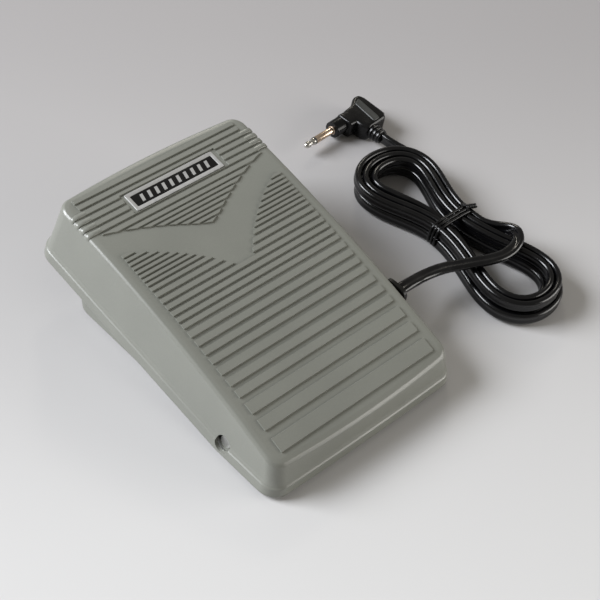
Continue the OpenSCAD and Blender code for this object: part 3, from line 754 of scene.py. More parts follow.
def unit(rows: np.ndarray) -> np.ndarray:
    """Rows scaled to a length of one."""
    return rows / np.linalg.norm(rows, axis=1, keepdims=True)


def tangents(line: np.ndarray) -> np.ndarray:
    """The direction of a line at each of its points."""
    return unit(np.gradient(line, axis=0))


def swept(line: np.ndarray, side: np.ndarray, flat: np.ndarray) -> list[Ring]:
    """Carries a flat section along a line.

    Args:
        line: points of the line.
        side: where the section's first axis points, at each of them.
        flat: the section's points.

    Returns:
        One ring for each point of the line.
    """
    up = np.cross(side, tangents(line))
    return [p + flat[:, :1] * s + flat[:, 1:] * u for p, s, u in zip(line, side, up)]


def lathe(profile: Sequence[tuple[float, float]], frame: Matrix, sides: int = 40) -> Skin:
    """Turns a profile of (along, radius) about the frame's X axis.

    Args:
        profile: points from one end to the other, in millimetres.
        frame: where the axis lies, in millimetres.
        sides: steps round the axis.

    Returns:
        The closed skin.
    """
    skin = Skin()
    rings = []
    for along, radius in profile:
        flat = circle(max(radius, 1e-4), sides)
        ring = np.column_stack([np.full(sides, along), flat])
        rings.append(place(ring, frame))
    skin.loft(rings)
    return skin


def pipe_form(profile: Sequence[tuple[float, float]], frame: Matrix, sides: int = 40) -> Skin:
    """Turns a closed profile of (along, radius) about the frame's X axis, open in the middle.

    Args:
        profile: the closed profile's points, in millimetres.
        frame: where the axis lies, in millimetres.
        sides: steps round the axis.

    Returns:
        The closed skin.
    """
    skin = Skin()
    starts = []
    for along, radius in profile:
        ring = np.column_stack([np.full(sides, along), circle(radius, sides)])
        starts.append(skin.add(place(ring, frame)))
    for low, high in zip(starts, starts[1:] + starts[:1]):
        skin.wall(low, high, sides)
    return skin


def place(points: np.ndarray, frame: Matrix) -> np.ndarray:
    """Moves points by a matrix."""
    m = np.array(frame, float)
    return points @ m[:3, :3].T + m[:3, 3]


def along_x(x: float, y: float, z: float) -> Matrix:
    """A frame at a point, with the part's own axes."""
    return Matrix.Translation((x, y, z))


def upright(x: float, y: float, z: float) -> Matrix:
    """A frame at a point, whose X axis points up."""
    return Matrix.Translation((x, y, z)) @ Matrix.Rotation(-math.pi / 2, 4, "Y")


def rounded(rings: Sequence[Ring], radii: Sequence[float], steps: int = 4) -> list[Ring]:
    """Rounds a loft where its walls meet.

    Args:
        rings: matching rings, in order.
        radii: how far from each ring its rounding starts, where 0 keeps the ring.
        steps: steps in each rounding.

    Returns:
        The rings with each rounded one drawn out into steps + 1 rings.
    """
    made: list[Ring] = []
    for i, (ring, radius) in enumerate(zip(rings, radii)):
        if radius <= 0 or i in (0, len(rings) - 1):
            made.append(ring)
            continue
        arms = []
        for other in (rings[i - 1], rings[i + 1]):
            arm = other - ring
            length = np.linalg.norm(arm, axis=1, keepdims=True)
            arms.append(arm / np.maximum(length, 1e-9) * np.minimum(radius, 0.45 * length))
        for k in range(steps + 1):
            t = k / steps
            made.append(ring + (1 - t) ** 2 * arms[0] + t**2 * arms[1])
    return made


def smooth_path(points: np.ndarray, step: float) -> np.ndarray:
    """A centripetal spline through points, resampled at a step.

    Args:
        points: the points that it goes through.
        step: distance between the points of the result.

    Returns:
        Points along the spline, evenly spaced.
    """
    p = np.vstack([2 * points[0] - points[1], points, 2 * points[-1] - points[-2]])
    out = []
    for i in range(1, len(p) - 2):
        t = np.zeros(4)
        for k in range(1, 4):
            t[k] = t[k - 1] + max(np.linalg.norm(p[i - 1 + k] - p[i - 2 + k]), 1e-6) ** 0.5
        for u in np.linspace(t[1], t[2], SPLINE_STEPS, endpoint=False):
            a = [
                (t[k + 1] - u) / (t[k + 1] - t[k]) * p[i - 1 + k]
                + (u - t[k]) / (t[k + 1] - t[k]) * p[i + k]
                for k in range(3)
            ]
            b = [
                (t[k + 2] - u) / (t[k + 2] - t[k]) * a[k]
                + (u - t[k]) / (t[k + 2] - t[k]) * a[k + 1]
                for k in range(2)
            ]
            out.append((t[2] - u) / (t[2] - t[1]) * b[0] + (u - t[1]) / (t[2] - t[1]) * b[1])
    line = np.vstack([out, points[-1]])
    run = np.concatenate([[0], np.cumsum(np.linalg.norm(np.diff(line, axis=0), axis=1))])
    at = np.linspace(0, run[-1], max(2, round(run[-1] / step) + 1))
    return np.stack([np.interp(at, run, line[:, k]) for k in range(3)], axis=1)


# ---------------------------------------------------------------- cord


@dataclass
class FlatCord:
    """The flat twin cord: out of the gland, through its tied hank and on to the plug."""

    # section
    width: float = 5.8
    thick: float = 3.0
    groove: float = 0.5
    # hank: a loop of two lobes, repeated outwards, in two layers that meet at its middle turn
    hank_at: tuple[float, float] = (113.7, -13.0)
    turns: float = 5.125
    start: float = 45.0
    pitch: float = 3.55
    layers: tuple[float, float] = (4.1, 10.5)
    waist: float = 2.2
    lobe: float = 27.5
    far: float = 42.3
    near: float = 52.3
    middle: float = 2.625
    climb: float = 0.24
    squeeze: float = 1.2
    squeeze_turns: float = 0.4
    # how finely the line is drawn, and the points that it goes through outside the hank
    steps_per_turn: int = 160
    step: float = 1.6
    lead: tuple[tuple[float, float, float], ...] = (
        (57.3, -32, 17), (62, -32, 17), (67.5, -31.7, 16.1), (73.3, -31.2, 14.6), (80, -31.7, 14),
        (86.4, -33.4, 14.2), (92.8, -36.5, 14.8), (99.5, -39.8, 15.4), (106.4, -42.7, 15.5),
        (113.5, -44.4, 15.5), (120.5, -44, 15.5), (126.2, -41.7, 15.4), (129.5, -38.2, 15),
        (130.4, -34.2, 13.4), (129, -29.8, 11.8), (126.9, -25.8, 10.8), (125.3, -22, 10.5),
        (124.9, -18, 10.5),
    )
    lead_rolls: tuple[float, ...] = (0,) * 12 + (20, 50, 75, 90, 90, 90)
    tail: tuple[tuple[float, float, float], ...] = (
        (135.2, 18.8, 4.1), (136.5, 23.3, 4.1), (137, 29, 4.3), (136, 34.4, 4.7),
        (134.4, 39.4, 5.2), (133.4, 43.4, 5.5), (133.1, 47.3, 5.5),
    )

    def hank_point(self, t: float) -> np.ndarray:
        """A point of the hank's centre line: a waisted loop that widens away from its middle turn.

        Args:
            t: how many turns along the hank it lies.

        Returns:
            The point.
        """
        a = math.radians(self.start - 360.0 * t)
        c, s = math.cos(a), math.sin(a)
        reach = self.far if s > 0 else self.near
        at = np.array([self.waist * c + self.lobe * s * s * c, reach * s])
        out = np.array([reach * c, self.waist * s - self.lobe * (2 * s * c * c - s**3)])
        away = abs(t - self.middle)
        off = self.pitch * away - self.squeeze * max(0.0, 1 - away / self.squeeze_turns)
        at = at + out / np.linalg.norm(out) * off
        rise = min(1.0, max(0.0, (t - self.middle) / self.climb + 0.5))
        rise = rise * rise * (3 - 2 * rise)
        z = self.layers[0] + (self.layers[1] - self.layers[0]) * rise
        return np.array([self.hank_at[0] + at[0], self.hank_at[1] + at[1], z])

    def route(self) -> tuple[np.ndarray, np.ndarray]:
        """The whole centre line, from the gland to the plug.

        Returns:
            The line's points, and how far the flat section is rolled at each, in degrees.
        """
        lead = smooth_path(np.array(self.lead, float), self.step)
        along = np.linspace(0, 1, len(self.lead))
        lead_roll = np.interp(np.linspace(0, 1, len(lead)), along, self.lead_rolls)
        turns = np.linspace(self.turns, 0, int(self.turns * self.steps_per_turn))
        hank = np.array([self.hank_point(t) for t in turns])
        tail = smooth_path(np.array(self.tail, float), self.step)
        line = np.vstack([lead, hank, tail])
        roll = np.concatenate([lead_roll, np.full(len(hank) + len(tail), 90.0)])
        return line, roll

    def section(self) -> np.ndarray:
        """Two round cores side by side with a groove between them.

        Returns:
            The section's points, with the width along its first axis.
        """
        r = self.thick / 2
        off = self.width / 2 - r
        pts = []
        for a in np.radians([-60, -30, 0, 30, 60, 90, 118]):
            pts.append((off + r * math.cos(a), r * math.sin(a)))
        pts.append((0.0, r - self.groove))
        for a in np.radians([62, 90, 120, 150, 180, 210, 240, 270, 298]):
            pts.append((-off + r * math.cos(a), r * math.sin(a)))
        pts.append((0.0, -r + self.groove))
        for a in np.radians([242, 270]):
            pts.append((off + r * math.cos(a), r * math.sin(a)))
        return np.array(pts)

    def build(self, jacket: bpy.types.Material) -> bpy.types.Object:
        """Sweeps the cord.

        Args:
            jacket: its finish.

        Returns:
            The cord.
        """
        line, roll = self.route()
        ahead = tangents(line)
        level = unit(np.cross(ahead, [0, 0, 1.0]))
        up = np.cross(level, ahead)
        turn = np.radians(roll)[:, None]
        skin = Skin()
        skin.loft(swept(line, level * np.cos(turn) + up * np.sin(turn), self.section()))
        cord = skin.piece("cord", Body.BASE, jacket, "cord_pvc", 60.0)
        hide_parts("cord_lead", "cord_hank", "cord_tail")
        return cord

    def declare(self) -> None:
        """Works out the cord's route and leaves it unused.
        """
        line, _ = self.route()


# ---------------------------------------------------------------- treadle cover


@dataclass(frozen=True)
class Wing:
    """One arc of the chevron's edge: where it starts, its radius and its angles in degrees."""

    x: float
    y: float
    radius: float
    start: float
    end: float

    def points(self, y: float) -> list[tuple[float, float]]:
        """The arc's points, from the middle outwards.

        Args:
            y: how far along the cover the chevron's point lies.

        Returns:
            The points.
        """
        first = math.radians(self.start)
        made = []
        for a in np.radians(np.linspace(self.start, self.end, ARC_STEPS + 1)):
            out = self.x + self.radius * (math.sin(first) - math.sin(a))
            along = self.y + y - self.radius * (math.cos(first) - math.cos(a))
            made.append((out, along))
        return made


@dataclass
class TreadleCover:
    """The arched and bevelled cover with its ribs, chevron and label.

    Along the cover, y runs from 0 at the thin end to the length at the tall end.
    """

    # rim, band and ledge
    width: float = 106.0
    length: float = 147.4
    corner: float = 8.3
    least_corner: float = 1.0
    rim_bow: float = 0.5
    band: float = 5.0
    flare: float = 0.6
    ledge: float = 1.3
    ledge_fall: float = 0.95
    ledge_chamfer: float = 0.6
    foot_rise: float = 1.1
    gap: float = 2.0
    rise: float = 8.3
    bend_in: float = 1.6
    # walls and arched top
    thin_top: float = 15.1
    tall_top: float = 47.4
    arch: float = 4.35
    wall: float = 1.6
    top_wall: float = 2.2
    side_draft: float = 5.0
    thin_draft: float = 9.0
    tall_draft: float = 7.1
    draft_from: tuple[float, float] = (3.0, 4.0)
    # double-creased bevel
    bevel: float = 3.0
    bevel_drop: float = 2.0
    edge_drop: float = 1.35
    shoulder: tuple[float, float] = (1.1, 0.3)
    inner_bevel: float = 0.8
    lid_margin: float = 2.5
    bow: float = 1.5
    # hinge seats, with how far out their cutters reach
    hinge_y: float = 31.3
    hinge_z: float = 7.0
    seat_r: float = 3.7
    seat_x: tuple[float, float] = (50.0, 56.0)
    bore_r: float = 2.75
    bore_x: tuple[float, float] = (45.0, 51.0)
    boss_r: float = 5.0
    boss_x: tuple[float, float] = (46.9, 50.2)
    # the gland's slot
    slot_x: tuple[float, float] = (46.1, 58.0)
    slot_y: tuple[float, float] = (35.95, 46.2)
    slot_top: float = 21.48
    # ribs: groups of (how many, pitch) from the tall end
    rib_height: float = 0.65
    rib_reach: float = 43.3
    rib_share: float = 0.67
    rib_draft: float = 0.12
    rib_root: float = 0.4
    rib_round: float = 0.26
    rib_first_in: float = 10.9
    rib_last: float = 5.0
    rib_groups: tuple[tuple[int, float], ...] = (
        (1, 3.25), (6, 3.25), (1, 2.7), (11, 2.18), (1, 2.6), (6, 3.27), (4, 4.4), (3, 5.4),
        (2, 7.7), (1, 9.9),
    )
    wrapped: tuple[int, int] = (2, 6)
    # chevron
    chevron_in: float = 67.8
    chevron_notch: float = 21.6
    chevron_sides: tuple[float, float] = (28.0, 39.2)
    near_wing: Wing = Wing(4.7, 1.1, 94.0, 50.0, 22.0)
    far_wing: Wing = Wing(5.1, 23.4, 172.0, 29.5, 16.0)
    # label: length, width and thickness, and one bar's corners
    label_in: float = 21.8
    label_x: float = 0.6
    label_size: tuple[float, float, float] = (47.5, 9.25, 0.9)
    label_margin: tuple[float, float] = (2.0, 0.6)
    label_edge: float = 1.7
    bars: int = 10
    bar_pitch: float = 3.9
    bar_corners: tuple[tuple[float, float], ...] = (
        (-1.0, -1.75), (0.5, -1.75), (1.3, 1.75), (-0.2, 1.75),
    )
    # spring posts: radii of the bore, the post and its collar
    post_at: tuple[float, float] = (26.0, 105.0)
    post_low: float = 22.36
    post_chamfer: float = 0.35
    post_radii: tuple[float, float, float] = (1.3, 3.3, 6.95)
    collar_under: tuple[float, float] = (5.2, 3.2)
    # pusher: the heights of its tip and shoulder, and the radii of its tip and stem
    pusher_y: float = 80.0
    pusher_z: tuple[float, float] = (28.8, 32.3)
    pusher_radii: tuple[float, float] = (3.0, 5.0)
    pusher_under: float = 3.1
    # heights that no part of the cover reaches, for its cutters
    over_all: float = 60.0
    under_top: float = 10.0

    # -- levels
    def rim_z(self, y: np.ndarray) -> np.ndarray:
        """Height of the skirt's lower edge."""
        behind = np.maximum(0, y - self.hinge_y - self.bend_in)
        return self.gap + behind * math.tan(math.radians(self.rise))

    def ledge_z(self, y: np.ndarray) -> np.ndarray:
        """Height of the ledge on top of the band."""
        return self.rim_z(y) + self.band

    def top_z(self, y: np.ndarray) -> np.ndarray:
        """Height of the arched top."""
        t = y / self.length
        return self.thin_top + (self.tall_top - self.thin_top) * t + 4 * self.arch * t * (1 - t)

    def slope(self, y: float) -> float:
        """Slope of the top, in radians."""
        return math.atan(float(self.top_z(y + 0.5) - self.top_z(y - 0.5)))

    def step(self) -> float:
        """How far the wall's foot stands in from the rim."""
        return self.flare + self.ledge

    # -- outlines
    def outline(self, half: float, y0: float, y1: float, r: float, bow: float) -> np.ndarray:
        """A closed rounded outline from the thin end's middle, whose points match at every inset.

        Args:
            half: half its width.
            y0: its thin end.
            y1: its tall end.
            r: radius of its corners.
            bow: how far its ends bow outward.

        Returns:
            Its points.
        """
        flat = half - r
        s0, s1 = y0 + bow + r, y1 - bow - r
        bend = self.hinge_y + self.bend_in
        pts: list[tuple[float, float]] = []
        for i in range(8):
            x = flat * i / 8
            pts.append((x, y0 + bow * (x / flat) ** 2))
        for a in np.radians(np.linspace(-90, 0, ARC_STEPS + 1)):
            pts.append((flat + r * math.cos(a), s0 + r * math.sin(a)))
        pts += [(half, s0 + (bend - s0) * i / 4) for i in range(1, 4)] + [(half, bend)]
        pts += [(half, bend + (s1 - bend) * i / 24) for i in range(1, 24)]
        for a in np.radians(np.linspace(0, 90, ARC_STEPS + 1)):
            pts.append((flat + r * math.cos(a), s1 + r * math.sin(a)))
        for i in range(7, -1, -1):
            x = flat * i / 8
            pts.append((x, y1 - bow * (x / flat) ** 2))
        right = np.array(pts)
        left = right[-2:0:-1] * [-1, 1]
        return np.vstack([right, left])

    def skirt_ring(self, inset: float, drop: float | None) -> Ring:
        """A ring of the skirt.

        Args:
            inset: how far it stands in from the rim.
            drop: how far it lies below the ledge, or None for the rim itself.

        Returns:
            The ring.
        """
        end = self.length - inset
        p = self.outline(self.width / 2 - inset, inset, end, self.corner - inset, self.rim_bow)
        z = self.rim_z(p[:, 1]) if drop is None else self.ledge_z(p[:, 1]) - drop
        return np.column_stack([p, z])

    def crease_ring(self, inset: float, drop: float) -> Ring:
        """A ring near the top, leaned in with the walls' draft.

        Args:
            inset: how far it stands in from the wall's upper edge.
            drop: how far it lies below the top.

        Returns:
            The ring.
        """
        half = self.width / 2 - self.step()
        low = self.top_z(self.draft_from[0]) - self.bevel_drop - self.band - self.gap
        high = self.top_z(self.length - self.draft_from[1])
        high = high - self.bevel_drop - self.ledge_z(self.length)
        y0 = self.step() + low * math.tan(math.radians(self.thin_draft))
        y1 = self.length - self.step() - high * math.tan(math.radians(self.tall_draft))
        r = max(self.least_corner, self.corner - self.step() - inset)
        p = self.outline(half - inset, y0 + inset, y1 - inset, r, self.bow)
        rise = np.maximum(0, self.top_z(p[:, 1]) - self.bevel_drop - self.ledge_z(p[:, 1]))
        p[:, 0] *= 1 - rise * math.tan(math.radians(self.side_draft)) / half
        return np.column_stack([p, self.top_z(p[:, 1]) - drop])

    def centred(self, points: np.ndarray) -> np.ndarray:
        """Moves points from the thin end's origin to the frame's."""
        return points - [0, self.length / 2, 0]

    # -- shell
    def shell(self, plastic: bpy.types.Material) -> bpy.types.Object:
        """The hollow cover, with its hinge seats and the gland's slot cut out.

        Args:
            plastic: its finish.

        Returns:
            The cover's shell.
        """
        inner_foot = self.step() + self.wall
        chamfer = self.ledge_chamfer
        stations = [
            (self.crease_ring(self.wall + self.bevel * self.inner_bevel, self.top_wall), 0),
            (self.crease_ring(self.wall, self.bevel_drop + self.wall), 0.6),
            (self.skirt_ring(inner_foot, self.wall), 0.5),
            (self.skirt_ring(self.flare + self.wall, self.wall), 0.3),
            (self.skirt_ring(self.wall, None), 0.3),
            (self.skirt_ring(0, None), 0.5),
            (self.skirt_ring(self.flare, self.ledge_fall), 0.22),
            (self.skirt_ring(self.flare + chamfer, self.ledge_fall - chamfer), 0.22),
            (self.skirt_ring(self.step(), -self.foot_rise), 0.6),
            (self.crease_ring(0, self.edge_drop), 0.5),
            (self.crease_ring(*self.shoulder), 0.5),
            (self.crease_ring(self.bevel, 0), 0.3),
            (self.crease_ring(self.bevel + self.lid_margin, 0), 0),
        ]
        rings, radii = zip(*stations)
        skin = Skin()
        skin.loft([self.centred(ring) for ring in rounded(rings, radii)], End.STRIP)
        shell = skin.bare("cover_shell")
        axis = along_x(0, self.hinge_y - self.length / 2, self.hinge_z)
        cutters = []
        for side in (-1, 1):
            for reach, r in ((self.seat_x, self.seat_r), (self.bore_x, self.bore_r)):
                low, high = sorted(side * x for x in reach)
                cutters.append(lathe([(low, r), (high, r)], axis, 48).bare("seat"))
        cutters.append(self._slot().bare("slot"))
        cut(shell, *cutters)
        finish_piece(shell, Body.TREADLE, plastic, 28.0)
        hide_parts("treadle_cover")
        return shell

    def _slot(self) -> Skin:
        """The box that clears the gland's neck."""
        y0, y1 = (y - self.length / 2 for y in self.slot_y)
        return box_skin((self.slot_x[0], y0, 0.0), (self.slot_x[1], y1, self.slot_top))

    # -- ribs
    def rib_table(self) -> list[tuple[float, float]]:
        """Each rib's near edge and width.

        Returns:
            One pair for each rib, from the tall end.
        """
        pitches = [p for n, p in self.rib_groups for _ in range(n)]
        table, y = [], self.length - self.rib_first_in + pitches[0]
        for pitch in pitches:
            y -= pitch
            if y >= self.rib_last:
                table.append((y, self.rib_share * pitch))
        return table

    def on_top(self, y: float) -> Matrix:
        """A frame on the top at y, turned with its slope."""
        place_on = Matrix.Translation((0, y - self.length / 2, float(self.top_z(y))))
        return place_on @ Matrix.Rotation(self.slope(y), 4, "X")

    def bar(self, skin: Skin, y: float, w: float) -> None:
        """Adds one rib: a drafted bar along X.

        Args:
            skin: the skin that it is added to.
            y: its near edge.
            w: its width.
        """
        frame = self.on_top(y + w / 2)
        foot, head = w / 2 + self.rib_draft, w / 2 - self.rib_draft
        low, high = -self.rib_root, self.rib_height
        flat = np.array([(-foot, low), (foot, low), (head, high), (-head, high)])
        ends = (-self.rib_reach, self.rib_reach)
        skin.loft([place(np.column_stack([np.full(4, x), flat]), frame) for x in ends])

    def chevron(self) -> list[tuple[float, float]]:
        """The chevron's closed outline.

        Returns:
            Its points, from its point round +X.
        """
        y = self.length - self.chevron_in
        out = self.rib_reach + 1
        sides = [(out, y + rise) for rise in self.chevron_sides]
        near, far = self.near_wing.points(y), self.far_wing.points(y)
        right = [(0, y), *near, *sides, *far[::-1], (0, y + self.chevron_notch)]
        return right + [(-px, py) for px, py in right[-2:0:-1]]

    def ribs(self, plastic: bpy.types.Material) -> bpy.types.Object:
        """All foot ribs, cut by the chevron and the label, with softened edges.

        Args:
            plastic: their finish.

        Returns:
            The ribs, as one piece.
        """
        skin = Skin()
        for y, w in self.rib_table():
            self.bar(skin, y, w)
        ribs = skin.bare("foot_ribs")
        prism = Skin()
        flat = np.array(self.chevron()) - [0, self.length / 2]
        levels = (0.0, self.over_all)
        prism.loft([np.column_stack([flat, np.full(len(flat), z)]) for z in levels])
        half_l, half_w = (n / 2 + more for n, more in zip(self.label_size, self.label_margin))
        y = self.length / 2 - self.label_in
        zone = box_skin(
            (self.label_x - half_l, y - half_w, self.under_top),
            (self.label_x + half_l, y + half_w, self.over_all),
        )
        cut(ribs, prism.bare("chevron"), zone.bare("zone"))
        soften(ribs, self.rib_round, 3, 25.0)
        finish_piece(ribs, Body.TREADLE, plastic, 50.0)
        flatten_lands(ribs)
        return ribs

    def lobes(self, plastic: bpy.types.Material) -> bpy.types.Object:
        """The rib ends that wrap over the side bevels.

        Args:
            plastic: their finish.

        Returns:
            The wrapped ends, as one piece.
        """
        skin = Skin()
        half = self.width / 2 - self.step()
        inset, fall = self.shoulder
        for y, w in self.rib_table()[slice(*self.wrapped)]:
            mid = y + w / 2
            rise = float(self.top_z(mid) - self.bevel_drop - self.ledge_z(mid))
            lean = 1 - rise * math.tan(math.radians(self.side_draft)) / half
            x_in, x_out = (half - self.bevel) * lean, half * lean
            # (x, height on the top, share of a rib's height)
            path = [
                (self.rib_reach - 1.1, 0.02, 1.0),
                (x_in - 0.5, 0.02, 1.0),
                (x_in, 0.0, 1.0),
                (x_in + 0.5, -0.08, 0.95),
                (x_out - inset - 0.4, 0.06 - fall, 0.85),
                (x_out - inset + 0.1, -fall - 0.06, 0.8),
                (x_out - 0.3, 0.3 - self.edge_drop, 0.6),
                (x_out + 0.02, -self.edge_drop - 0.7, 0.05),
            ]
            for side in (-1, 1):
                self._lobe(skin, mid, w, [(side * x, z, share) for x, z, share in path])
        return skin.piece("rib_lobes", Body.TREADLE, plastic, "grey_plastic", 50.0)

    def _lobe(
        self, skin: Skin, mid: float, w: float, path: Sequence[tuple[float, float, float]]
    ) -> None:
        """Sweeps one lobe over the bevel.

        Args:
            skin: the skin that it is added to.
            mid: where its middle lies along the cover.
            w: its width.
            path: its x, its height on the top and its share of a rib's height, from point to point.
        """
        frame = self.on_top(mid)
        line = np.array(path)[:, :2]
        ahead = tangents(line)
        out = np.column_stack([-ahead[:, 1], ahead[:, 0]]) * np.sign(line[-1, 0] - line[0, 0])
        root, edge, flat = -self.rib_root, w / 2, w / 2 - 0.3
        rings = []
        for (x, z, share), (nx, nz) in zip(path, out):
            h = self.rib_height * share
            low = h * 0.55
            profile = (
                (-edge, root), (-edge, low), (-flat, h), (flat, h), (edge, low), (edge, root),
            )
            ring = [(x + nx * up, dy, z + nz * up) for dy, up in profile]
            rings.append(place(np.array(ring), frame))
        skin.loft(rings)

    # -- inside
    def inside(self, plastic: bpy.types.Material) -> list[bpy.types.Object]:
        """Hinge bosses, spring posts and the pusher under the top.

        Args:
            plastic: their finish.

        Returns:
            The pieces.
        """
        made = []
        for side, name in ((-1, "hinge_boss_left"), (1, "hinge_boss_right")):
            made.append(self._boss(side, name, plastic))
        for side, name in ((-1, "spring_post_left"), (1, "spring_post_right")):
            made.append(self._post(side, name, plastic))
        made.append(self._pusher(plastic))
        return made

    def _boss(self, side: int, name: str, plastic: bpy.types.Material) -> bpy.types.Object:
        """One boss round a hinge pin.

        Args:
            side: -1 on the left and 1 on the right.
            name: the piece's name.
            plastic: its finish.

        Returns:
            The boss.
        """
        low, high = self.boss_x
        floor = self.seat_x[0]
        profile = [
            (low, self.bore_r), (low, self.boss_r), (high, self.boss_r), (high, self.seat_r),
            (floor, self.seat_r), (floor, self.bore_r),
        ]
        axis = along_x(0, self.hinge_y - self.length / 2, self.hinge_z)
        skin = pipe_form([(side * x, r) for x, r in profile], axis, 48)
        return skin.piece(name, Body.TREADLE, plastic, "grey_plastic")

    def _post(self, side: int, name: str, plastic: bpy.types.Material) -> bpy.types.Object:
        """One post that carries a return spring's upper end.

        Args:
            side: -1 on the left and 1 on the right.
            name: the piece's name.
            plastic: its finish.

        Returns:
            The post.
        """
        x, y = self.post_at
        bore, post, collar = self.post_radii
        seat, end = (float(self.top_z(y)) - under for under in self.collar_under)
        low, chamfer = self.post_low, self.post_chamfer
        profile = [
            (low, bore), (low, post - chamfer), (low + chamfer, post), (seat, post), (seat, collar),
            (end, collar), (end, bore),
        ]
        skin = pipe_form(profile, upright(side * x, y - self.length / 2, 0))
        return skin.piece(name, Body.TREADLE, plastic, "grey_plastic")

    def _pusher(self, plastic: bpy.types.Material) -> bpy.types.Object:
        """The round-tipped stem that presses the speed control's plunger.

        Args:
            plastic: its finish.

        Returns:
            The pusher.
        """
        low, shoulder = self.pusher_z
        tip, stem = self.pusher_radii
        turn = np.radians(np.linspace(0, 90, 10))
        profile = [(low + tip - tip * math.cos(a), tip * math.sin(a)) for a in turn]
        profile += [(shoulder, tip), (shoulder, stem), (shoulder + 0.01, stem)]
        profile.append((float(self.top_z(self.pusher_y)) - self.pusher_under, stem))
        skin = lathe(profile, upright(0, self.pusher_y - self.length / 2, 0))
        return skin.piece("pusher", Body.TREADLE, plastic, "grey_plastic")

    # -- label
    def label(
        self, silver: bpy.types.Material, black: bpy.types.Material
    ) -> list[bpy.types.Object]:
        """A silver frame round a black field with a generic row of slanted bars.

        Args:
            silver: the finish of the frame and the bars.
            black: the field's finish.

        Returns:
            The pieces.
        """
        length, width, thick = self.label_size
        frame = self.on_top(self.length - self.label_in) @ Matrix.Translation((self.label_x, 0, 0))
        edge = self.label_edge
        top = thick / 2

        def ring(inset: float, drop: float) -> Ring:
            """A rectangle with small round corners, at a depth below the label's face."""
            flat = superellipse(length / 2 - inset, width / 2 - inset, 30, 48)
            return place(np.column_stack([flat, np.full(len(flat), top - drop)]), frame)

        rim = Skin()
        rim_path = (
            (0, thick), (0, 0.12), (0.1, 0.03), (edge - 0.25, 0), (edge, 0.12), (edge + 0.05, 0.3),
        )
        rim.loft([ring(inset, drop) for inset, drop in rim_path])
        field_path = ((edge - 0.1, 0.5), (edge, 0.22), (edge + 0.4, 0.2))
        face = Skin()
        face.loft([ring(inset, drop) for inset, drop in field_path])
        marks = Skin()
        for i in range(self.bars):
            middle = (i - (self.bars - 1) / 2) * self.bar_pitch
            flat = np.array(self.bar_corners) + [middle, 0]
            levels = (top - 0.3, top - 0.14)
            marks.loft([place(np.column_stack([flat, np.full(4, z)]), frame) for z in levels])
        made = [
            rim.piece("label_frame", Body.TREADLE, silver, "label_silver", 30.0),
            face.piece("label_field", Body.TREADLE, black, "label_silver", 30.0),
            marks.piece("label_marks", Body.TREADLE, silver, "label_silver"),
        ]
        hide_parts("label_plate")
        return made


def box_skin(low: Sequence[float], high: Sequence[float]) -> Skin:
    """A closed box.

    Args:
        low: its lowest corner.
        high: its highest corner.

    Returns:
        The skin.
    """
    skin = Skin()
    flat = np.array([(low[0], low[1]), (high[0], low[1]), (high[0], high[1]), (low[0], high[1])])
    skin.loft([np.column_stack([flat, np.full(4, z)]) for z in (low[2], high[2])])
    return skin


# ---------------------------------------------------------------- plug and gland


def inset_polygon(
    corners: Sequence[tuple[float, float]], inset: float, radius: float, steps: int = 5
) -> np.ndarray:
    """Moves a convex outline inward and rounds its corners.

    Args:
        corners: the outline's corners, anticlockwise.
        inset: how far each side moves inward.
        radius: how far from each corner its rounding starts.
        steps: steps in each rounding.

    Returns:
        The points of the outline, steps + 1 for each corner.
    """
    p = np.array(corners, float)
    ahead = unit(np.roll(p, -1, axis=0) - p)
    moved = p + inset * np.column_stack([-ahead[:, 1], ahead[:, 0]])
    out = []
    sides = len(p)
    met = []
    for i in range(sides):
        a, b = i - 1, i
        cross = ahead[a][0] * ahead[b][1] - ahead[a][1] * ahead[b][0]
        gap = moved[b] - moved[a]
        met.append(moved[a] + ahead[a] * (gap[0] * ahead[b][1] - gap[1] * ahead[b][0]) / cross)
    for i in range(sides):
        before, here, after = met[i - 1], met[i], met[(i + 1) % sides]
        back, front = before - here, after - here
        back *= min(radius, 0.48 * np.linalg.norm(back)) / np.linalg.norm(back)
        front *= min(radius, 0.48 * np.linalg.norm(front)) / np.linalg.norm(front)
        for k in range(steps + 1):
            t = k / steps
            out.append(here + (1 - t) ** 2 * back + t**2 * front)
    return np.array(out)


